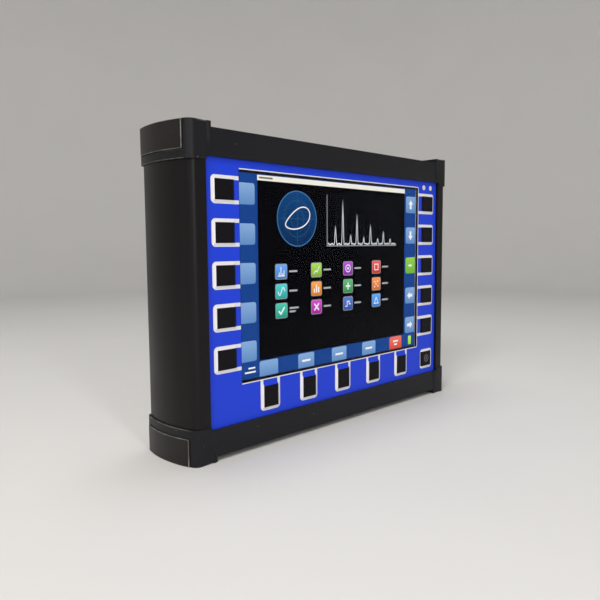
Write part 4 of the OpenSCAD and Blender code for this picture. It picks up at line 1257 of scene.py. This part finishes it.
def draw_tile_symbol(picture, kind, u, v, size, mark):
    """A plain symbol in a tile, in lines and dots. Its points are shares of its size."""
    thin, thick = size * 0.13, size * 0.22

    def at(x, y):
        return u + size * x, v + size * picture.aspect * y

    def stroke(points, width=thin, layer=SYMBOL, closed=False):
        picture.line([at(x, y) for x, y in points], width, layer, mark, closed)

    def dot(x, y, radius):
        picture.disc(*at(x, y), size * radius, SYMBOL, mark)

    if kind == "peaks":
        stroke([(-0.6, 0.55), (0.6, 0.55)])
        for x, y in ((-0.35, 0.1), (-0.05, -0.6), (0.25, 0.2), (0.48, -0.15)):
            stroke([(x, 0.55), (x, y)])
    elif kind == "wave":
        stroke([(x / 10, -0.5 * math.sin(x / 10 * math.pi / 0.6)) for x in range(-6, 7)])
    elif kind == "bars":
        for x, y in ((-0.42, 0.0), (0.0, -0.55), (0.42, -0.2)):
            stroke([(x, 0.55), (x, y)], thick)
    elif kind == "target":
        turns = [i * math.pi / 10 for i in range(20)]
        stroke([(0.5 * math.cos(a), 0.5 * math.sin(a)) for a in turns], closed=True)
        dot(0, 0, 0.17)
    elif kind == "step":
        stroke([(-0.6, 0.4), (-0.2, 0.4), (-0.2, -0.3), (0.25, -0.3), (0.25, 0.1), (0.6, 0.1)])
    elif kind == "dots":
        for x, y in ((-0.35, -0.3), (0.3, -0.38), (-0.05, 0.05), (-0.4, 0.42), (0.38, 0.35)):
            dot(x, y, 0.13)
    elif kind == "cross":
        stroke([(-0.45, -0.45), (0.45, 0.45)], thick)
        stroke([(-0.45, 0.45), (0.45, -0.45)], thick, CROSSING)
    elif kind == "check":
        stroke([(-0.5, 0.02), (-0.12, 0.42), (0.52, -0.42)], thick)
    elif kind == "slope":
        stroke([(-0.55, 0.5), (-0.15, 0.1), (0.1, 0.28), (0.55, -0.45)])
    elif kind == "square":
        stroke([(-0.42, -0.42), (0.42, -0.42), (0.42, 0.42), (-0.42, 0.42)], closed=True)
    elif kind == "plus":
        stroke([(0, -0.5), (0, 0.5)], thick)
        stroke([(-0.5, 0), (0.5, 0)], thick, CROSSING)
    else:
        stroke([(-0.5, 0.45), (0.0, -0.45), (0.5, 0.45)], closed=True)


def draw_bars(picture, look):
    """The ground, the bars round it and the soft keys on them."""
    bars, mark = tuple(look.bar_colour), tuple(look.mark_colour)
    plain = tuple(look.tab_colour), tuple(look.tab_light)
    green = linear(110, 176, 52), linear(146, 206, 84)
    red = linear(212, 74, 58), linear(236, 118, 98)
    lime = linear(150, 210, 40), linear(190, 236, 90)
    head, foot, left, right = 0.030, 0.917, 0.080, 0.920
    picture.box(0, 0, 1, 1, BACK, bars)
    picture.box(left, head, right, foot, GROUND, tuple(look.ground_colour))
    picture.box(left, 0.004, right, head, GROUND, tuple(look.title_colour))
    picture.box(left, foot, right, foot + 0.003, PANEL, tuple(c * 0.6 for c in bars))

    left_end, right_start, tab_corner = 0.068, 0.930, 0.010
    arrow_u, arrow_size = 0.965, 0.0205
    rows = [(0.047, 0.150), (0.240, 0.342), (0.430, 0.532), (0.622, 0.724), (0.812, 0.914)]
    quarter_turns = [0, 2, None, 3, 1]
    for (top, bottom), turn in zip(rows, quarter_turns):
        picture.box(0.0, top, left_end, bottom, PANEL, *plain, corner=tab_corner, square=(1, 2))
        pair = green if turn is None else plain
        picture.box(right_start, top, 1.0, bottom, PANEL, *pair, corner=tab_corner, square=(0, 3))
        middle = (top + bottom) / 2
        if turn is None:
            picture.box(0.952, middle - 0.006, 0.976, middle + 0.006, FACE, mark)
        else:
            picture.plate(arrow_points(arrow_u, middle, arrow_size, picture.aspect, turn), FACE, mark)

    # each word on a lower soft key: half its width, its upper and its lower edge
    no_word, one_word, two_words = [], [(0.022, 0.957, 0.968)], [(0.018, 0.947, 0.957), (0.010, 0.967, 0.977)]
    feet = [(0.080, 0.1665), (0.267, 0.351), (0.450, 0.536), (0.634, 0.721), (0.8185, 0.904)]
    words = [no_word, one_word, one_word, one_word, two_words]
    foot_top, foot_corner = 0.922, 0.008
    for (start, end), lines in zip(feet, words):
        pair = red if lines is two_words else plain
        picture.box(start, foot_top, end, 1.0, PANEL, *pair, corner=foot_corner, square=(2, 3))
        middle = (start + end) / 2
        for half, top, bottom in lines:
            picture.box(middle - half, top, middle + half, bottom, FACE, mark)
    # two words at the lower left, the battery sign at the lower right, and the word in the title bar
    picture.box(0.030, 0.944, 0.060, 0.952, FACE, mark)
    picture.box(0.014, 0.964, 0.062, 0.972, FACE, mark)
    picture.box(0.954, 0.936, 0.976, 0.990, PANEL, *lime, corner=0.003)
    picture.box(0.960, 0.931, 0.970, 0.936, PANEL, lime[0])
    picture.box(0.088, 0.012, 0.150, 0.021, FACE, linear(120, 118, 112))


def draw_tiles(picture, mark):
    """Twelve tiles, each with a plain symbol, and bars in place of the words beside it."""
    tiles = [
        ("peaks", (66, 120, 190)), ("slope", (126, 170, 52)), ("target", (132, 44, 160)),
        ("square", (190, 52, 44)), ("wave", (34, 158, 158)), ("bars", (214, 120, 34)),
        ("plus", (52, 140, 78)), ("dots", (208, 106, 36)), ("check", (24, 150, 128)),
        ("cross", (160, 32, 150)), ("step", (44, 82, 160)), ("triangle", (48, 122, 196)),
    ]
    columns = [0.186, 0.3655, 0.5456, 0.7245]
    heights = [0.480, 0.5807, 0.680]
    half_u, half_v, corner = 0.0292, 0.0400, 0.008
    in_u, in_v, in_corner = half_u - 0.0025, half_v - 0.0035, 0.0065
    gap, word_h = 0.010, 0.009
    rim, words = (tuple(c * share for c in mark) for share in (0.35, 0.55))
    for k, (kind, colour) in enumerate(tiles):
        u, v = columns[k % 4], heights[k // 4]
        shade = linear(*colour)
        lighter = tuple(min(1.0, c * 1.7 + 0.06) for c in shade)
        picture.box(u - half_u, v - half_v, u + half_u, v + half_v, FRAME, rim, corner=corner)
        picture.box(u - in_u, v - in_v, u + in_u, v + in_v, FACE, shade, lighter, corner=in_corner)
        draw_tile_symbol(picture, kind, u, v, half_u * 0.95, mark)
        start = u + half_u + gap
        for down, reach in [(-0.013, 0.046), (0.005, 0.030)] if kind == "check" else [(-0.004, 0.040)]:
            picture.box(start, v + down, start + reach, v + down + word_h, FRAME, words)


def draw_orbit(picture, mark):
    """A round plot with one closed trace."""
    middle, high, reach, steps = 0.268, 0.210, 0.098, 64
    tall = reach * picture.aspect
    rim, fine, bold = 0.0035, 0.0014, 0.0042
    grid = linear(50, 96, 150)
    turns = [2 * math.pi * i / steps for i in range(steps)]
    circle = [(middle + reach * math.cos(a), high + tall * math.sin(a)) for a in turns]
    picture.disc(middle, high, reach, PANEL, linear(10, 44, 84), linear(18, 66, 118), steps=steps)
    picture.line(circle, rim, FRAME, linear(66, 120, 176), closed=True)
    for share in (0.34, 0.67):
        inner = [(middle + (u - middle) * share, high + (v - high) * share) for u, v in circle]
        picture.line(inner, fine, FRAME, grid, closed=True)
    picture.line([(middle - reach, high), (middle + reach, high)], fine, FACE, grid)
    picture.line([(middle, high - tall), (middle, high + tall)], fine, FACE, grid)
    points = 72
    orbit = []
    for a in (2 * math.pi * i / points for i in range(points)):
        x = 0.62 * math.cos(a + 0.5) + 0.05 * math.cos(2 * a)
        y = 0.40 * math.sin(a) + 0.05 * math.sin(2 * a + 0.7)
        orbit.append((middle + reach * x, high + tall * y))
    picture.line(orbit, bold, TRACE, mark, closed=True)


def draw_spectrum(picture, mark):
    """A graph of narrow peaks over a grid."""
    low_u, high_u, base, roof = 0.425, 0.860, 0.352, 0.075
    fine, axis, bold = 0.0009, 0.0026, 0.0030
    rows, columns, samples, peak_width, ceiling = 5, 8, 180, 0.0085, 0.97
    grid = linear(44, 54, 66)
    for k in range(1, rows + 1):
        v = base - (base - roof) * k / rows
        picture.line([(low_u, v), (high_u, v)], fine, PANEL, grid)
    for k in range(1, columns + 1):
        u = low_u + (high_u - low_u) * k / columns
        picture.line([(u, base), (u, roof)], fine, FRAME, grid)
    picture.line([(low_u, roof), (low_u, base), (high_u, base)], axis, FACE, linear(170, 176, 182))
    # each peak: its place and its height, as shares of the graph
    peaks = [(0.10, 0.34), (0.20, 0.88), (0.31, 0.20), (0.40, 0.62), (0.50, 0.14), (0.60, 0.42), (0.71, 0.12),
             (0.80, 0.28), (0.91, 0.10)]
    trace = []
    for i in range(samples + 1):
        x = i / samples
        y = 0.035 + 0.012 * math.sin(i * 1.9) + 0.010 * math.sin(i * 0.73 + 1.0)
        y += sum(p * math.exp(-(((x - c) / peak_width) ** 2)) for c, p in peaks)
        trace.append((low_u + (high_u - low_u) * (0.01 + 0.98 * x), base - (base - roof) * min(y, ceiling)))
    picture.line(trace, bold, TRACE, mark)


class METER_OT_display(bpy.types.Operator):
    """Make the window pane and the lit picture behind it"""

    bl_idname = "vibration_meter.display"
    bl_label = "Window and display"

    def execute(self, context):
        look = context.scene.vibration_meter.display
        low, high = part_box("display_window")
        half_w, half_h = (high.x - low.x) / 2 / MM, (high.z - low.z) / 2 / MM
        x, z = (low.x + high.x) / 2 / MM, (low.z + high.z) / 2 / MM
        front, back = low.y / MM, high.y / MM
        rounding, chamfer, corner = 0.12, 0.1, 0.5
        border_t, border_w, margin, inner_corner = 0.04, 1.0, 0.05, 0.3
        levels = [(front, rounding), (front + rounding, 0.0), (back - border_t - chamfer, 0.0),
                  (back - border_t, chamfer)]
        bm = bmesh.new()
        loops = []
        for y, inset in levels:
            outline = rounded_rect(half_w - inset, half_h - inset, corner)
            loops.append([bm.verts.new(((x + px) * MM, y * MM, (z + pz) * MM)) for px, pz in outline])
        for first, second in zip(loops, loops[1:]):
            bridge(bm, first, second)
        bm.faces.new(loops[0])
        bm.faces.new(loops[-1][::-1])
        bmesh.ops.recalc_face_normals(bm, faces=bm.faces)
        dress("display_window", bm, "window_pane", "window_glass", "window_glass")

        bm = bmesh.new()
        outer = rounded_rect(half_w - margin, half_h - margin, corner)
        inner = rounded_rect(half_w - border_w, half_h - border_w, inner_corner)
        rings = [[(x + px, z + pz) for px, pz in outline] for outline in (outer, inner)]
        flat_ring(bm, *rings, border_t * 0.8, back - 0.001)
        bmesh.ops.recalc_face_normals(bm, faces=bm.faces)
        # the strip along the right side takes the pale grey finish, painted light for the lit side wall of
        # the recess; the other sides take the dark print
        for side in bm.faces:
            side.material_index = int(side.calc_center_median().x / MM > x + half_w - border_w - 0.1)
        mesh = to_mesh(bm, "window_border", [finish_of("window_mask"), finish_of("window_border")])
        add_piece("window_border", mesh, HOUSING, weighted=False)

        inset = Vector((border_w + margin, 0, border_w + margin)) * MM
        picture = Picture(low + inset, high - inset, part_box("display_panel")[0].y - 0.004 * MM)
        draw_bars(picture, look)
        for draw in (draw_tiles, draw_orbit, draw_spectrum):
            draw(picture, tuple(look.mark_colour))
        mesh = bpy.data.meshes.new("lit_picture")
        picture.bm.to_mesh(mesh)
        picture.bm.free()
        mesh.materials.append(finish_of("lit_picture"))
        add_piece("lit_picture", mesh, HOUSING, weighted=False)
        set_finish("display_panel", "lcd_metal")
        set_finish("display_tray", "sheet_steel")
        return {"FINISHED"}


class METER_OT_lamps(bpy.types.Operator):
    """Round the two lamp lenses"""

    bl_idname = "vibration_meter.lamps"
    bl_label = "Lamp lenses"

    def execute(self, context):
        front, lens_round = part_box("led_lenses")[0].y / MM, 0.7 * MM
        bm = cad_copy("led_lenses")
        soften(bm, lens_round, both(lambda p: near(p.y, front)), segments=4)
        dress("led_lenses", bm, "lamp_lenses", "lens_white", "lens_white")
        set_finish("status_leds", "white_plastic")
        return {"FINISHED"}


class METER_OT_connectors(bpy.types.Operator):
    """Dress the sockets in the upper well"""

    bl_idname = "vibration_meter.connectors"
    bl_label = "Connectors"

    def execute(self, context):
        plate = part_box("connector_plate")[1].z / MM
        jack_round, proud = 0.12 * MM, 0.3
        for node, name, finish, slot in (
            ("bnc_jacks", "jack_shells", "nickel_plate", "nickel_plate"),
            ("bnc_nuts", "jack_nuts", "nickel_plate", "nickel_plate"),
            ("bnc_insulators", "jack_insulators", "white_plastic", "white_plastic"),
            ("bnc_contacts", "jack_contacts", "gold_plate", "brass_part"),
        ):
            bm = cad_copy(node)
            soften(bm, jack_round, both(lambda p: p.z > plate + proud), segments=2)
            dress(node, bm, name, slot, finish)
        for row in (
            ("usb_a_socket", "wide_socket", "sheet_steel", "white_plastic"),
            ("usb_mini_socket", "narrow_socket", "sheet_steel", "black_plastic"),
            ("audio_jack", "round_socket", "black_plastic", "gold_plate"),
            ("power_jack", "power_socket", "black_plastic", "nickel_plate"),
        ):
            dress_socket(*row)
        return {"FINISHED"}


def dress_socket(node, name, outside, inside):
    """Rounds a socket's mouth and gives its tongue, contacts or pin the inner finish."""
    mouth_round, tongue_y, shell = 0.1 * MM, 0.85, 1.2
    pin_r, bore_r, above_floor, below_mouth = 1.08, 1.85, 1.0, 1.0
    bm = cad_copy(node)
    low, high = (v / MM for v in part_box(node))
    middle, half = (low.x + high.x) / 2, (high.x - low.x) / 2
    soften(bm, mouth_round, both(lambda p: near(p.z, high.z)), segments=2)
    for side in bm.faces:
        centre = side.calc_center_median() / MM
        off = math.hypot(centre.x - middle, centre.y)
        if node.startswith("usb"):
            core = abs(centre.y) < tongue_y and abs(centre.x - middle) < half - shell
            core = core and centre.z > low.z + above_floor / 2
        elif node == "power_jack":
            core = off < pin_r and centre.z > low.z + above_floor
        else:
            core = off < bore_r and low.z + above_floor < centre.z < high.z - below_mouth
            core = core and abs(side.normal.z) < 0.5
        side.material_index = int(core)
    dress(node, bm, name, outside, outside, inside)


class METER_OT_inner_parts(bpy.types.Operator):
    """Finish the boards, the battery and the cables inside"""

    bl_idname = "vibration_meter.inner_parts"
    bl_label = "Inner parts"

    def execute(self, context):
        rows = {
            "board_green": ("main_board", "input_board"),
            "board_blue": ("keypad_board",),
            "black_plastic": ("switch_bodies", "memory_card", "battery_tray"),
            "sheet_steel": ("processor_cover", "coin_cell", "input_shield"),
            "screw_steel": ("board_screws", "keypad_nuts"),
            "gold_plate": ("board_standoffs", "keypad_studs"),
            "battery_wrap": ("battery_pack",),
            "ribbon_film": ("battery_lead", "display_ribbon", "keypad_ribbon"),
        }
        for name, nodes in rows.items():
            for node in nodes:
                set_finish(node, name)
        return {"FINISHED"}


class METER_OT_stage(bpy.types.Operator):
    """Set the floor and backdrop, the lamps and the camera"""

    bl_idname = "vibration_meter.stage"
    bl_label = "Stage"

    def execute(self, context):
        stage = context.scene.vibration_meter.stage
        scene = context.scene
        bm = bmesh.new()
        flat, sweep = stage.floor_radius, stage.sweep_radius
        profile = [(0.0, 0.0), (flat * 0.5, 0.0), (flat, 0.0)]
        profile += [
            (flat + sweep * math.sin(math.radians(a)), sweep * (1 - math.cos(math.radians(a))))
            for a in range(6, 91, 6)
        ]
        profile.append((flat + sweep, stage.wall_height))
        lathe(bm, profile, steps=96)
        bmesh.ops.recalc_face_normals(bm, faces=bm.faces)
        if next(iter(bm.faces)).normal.z < 0:
            bmesh.ops.reverse_faces(bm, faces=bm.faces)
        found, nodes, shader = new_material("pale_floor")
        place = nodes.place()
        shades = [tuple(min(1.0, c * share) for c in stage.floor_colour) for share in (0.97, 1.03)]
        nodes.put(shader.inputs["Base Color"], nodes.mix(nodes.noise(place, 6.0, 3.0), *shades))
        shader.inputs["Roughness"].default_value = 0.85
        mesh = to_mesh(bm, "floor", [found])
        floor = bpy.data.objects.new("floor", mesh)
        scene.collection.objects.link(floor)

        world = bpy.data.worlds.new("Pale surroundings")
        world.use_nodes = True
        sky = world.node_tree.nodes["Background"]
        sky.inputs["Color"].default_value = (1.0, 1.0, 1.0, 1.0)
        sky.inputs["Strength"].default_value = stage.sky
        scene.world = world

        aim = Vector((0.0, 0.0, 0.10))
        # each lamp: its name, place, width and height, power, colour
        lamps = [
            ("key_lamp", (-1.05, -0.55, 1.05), (0.6, 0.6), stage.key_power, (1.0, 0.97, 0.93)),
            ("strip_lamp", (-0.42, -1.25, 0.55), (0.16, 0.9), stage.strip_power, (0.97, 0.98, 1.0)),
            ("top_lamp", (0.05, 0.15, 1.5), (0.7, 0.5), stage.top_power, (1.0, 1.0, 1.0)),
        ]
        for name, spot, size, power, colour in lamps:
            data = bpy.data.lights.new(name, "AREA")
            data.shape = "RECTANGLE"
            data.size, data.size_y = size
            data.energy, data.color = power, colour
            lamp = bpy.data.objects.new(name, data)
            lamp.location = spot
            lamp.rotation_euler = (aim - Vector(spot)).to_track_quat("-Z", "Y").to_euler()
            lamp.visible_camera = False
            scene.collection.objects.link(lamp)

        data = bpy.data.cameras.new("camera")
        data.sensor_width, data.lens = 36.0, stage.lens
        data.clip_start, data.clip_end = 0.01, 20.0
        camera = bpy.data.objects.new("camera", data)
        level = Matrix(((1, 0, 0), (0, 0, -1), (0, 1, 0)))
        turn = (
            Matrix.Rotation(stage.roll, 3, "Z") @ Matrix.Rotation(stage.pitch, 3, "X")
            @ level @ Matrix.Rotation(stage.yaw, 3, "Z")
        )
        axes = Matrix((turn[0], -turn[1], -turn[2])).transposed()
        camera.matrix_world = Matrix.Translation(stage.camera_place) @ axes.to_4x4()
        scene.collection.objects.link(camera)
        scene.camera = camera
        scene.view_settings.view_transform = "Standard"
        return {"FINISHED"}


OPERATORS = (
    METER_OT_stage, METER_OT_finishes, METER_OT_tube, METER_OT_end_caps, METER_OT_corner_inserts,
    METER_OT_plates, METER_OT_cap_screws, METER_OT_keypad_film, METER_OT_keys, METER_OT_display,
    METER_OT_lamps, METER_OT_connectors, METER_OT_inner_parts,
)
GROUPS = (CaseSettings, KeypadSettings, DisplaySettings, ConnectorSettings, StageSettings, MeterSettings)


class METER_PT_pieces(bpy.types.Panel):
    """Lists the meter's settings and pieces"""

    bl_idname = "METER_PT_pieces"
    bl_label = "Vibration Meter"
    bl_space_type = "VIEW_3D"
    bl_region_type = "UI"
    bl_category = "Meter"

    def draw(self, context):
        given = context.scene.vibration_meter
        for label in ("case", "keypad", "display", "connectors", "stage"):
            box = self.layout.box()
            box.label(text=label.capitalize())
            group = getattr(given, label)
            for name in group.bl_rna.properties.keys():
                if name not in ("rna_type", "name"):
                    box.prop(group, name)
        for operator in OPERATORS:
            self.layout.operator(operator.bl_idname)


def register():
    """Registers the classes and hangs the settings on the scene."""
    for group in (*GROUPS, *OPERATORS, METER_PT_pieces):
        bpy.utils.register_class(group)
    bpy.types.Scene.vibration_meter = PointerProperty(type=MeterSettings)


def unregister():
    """Takes the settings and the classes out again."""
    del bpy.types.Scene.vibration_meter
    for group in reversed((*GROUPS, *OPERATORS, METER_PT_pieces)):
        bpy.utils.unregister_class(group)


def main():
    """Builds the whole meter."""
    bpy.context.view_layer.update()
    register()
    for operator in OPERATORS:
        getattr(bpy.ops.vibration_meter, operator.bl_idname.split(".")[1])()


if __name__ == "__main__":
    main()
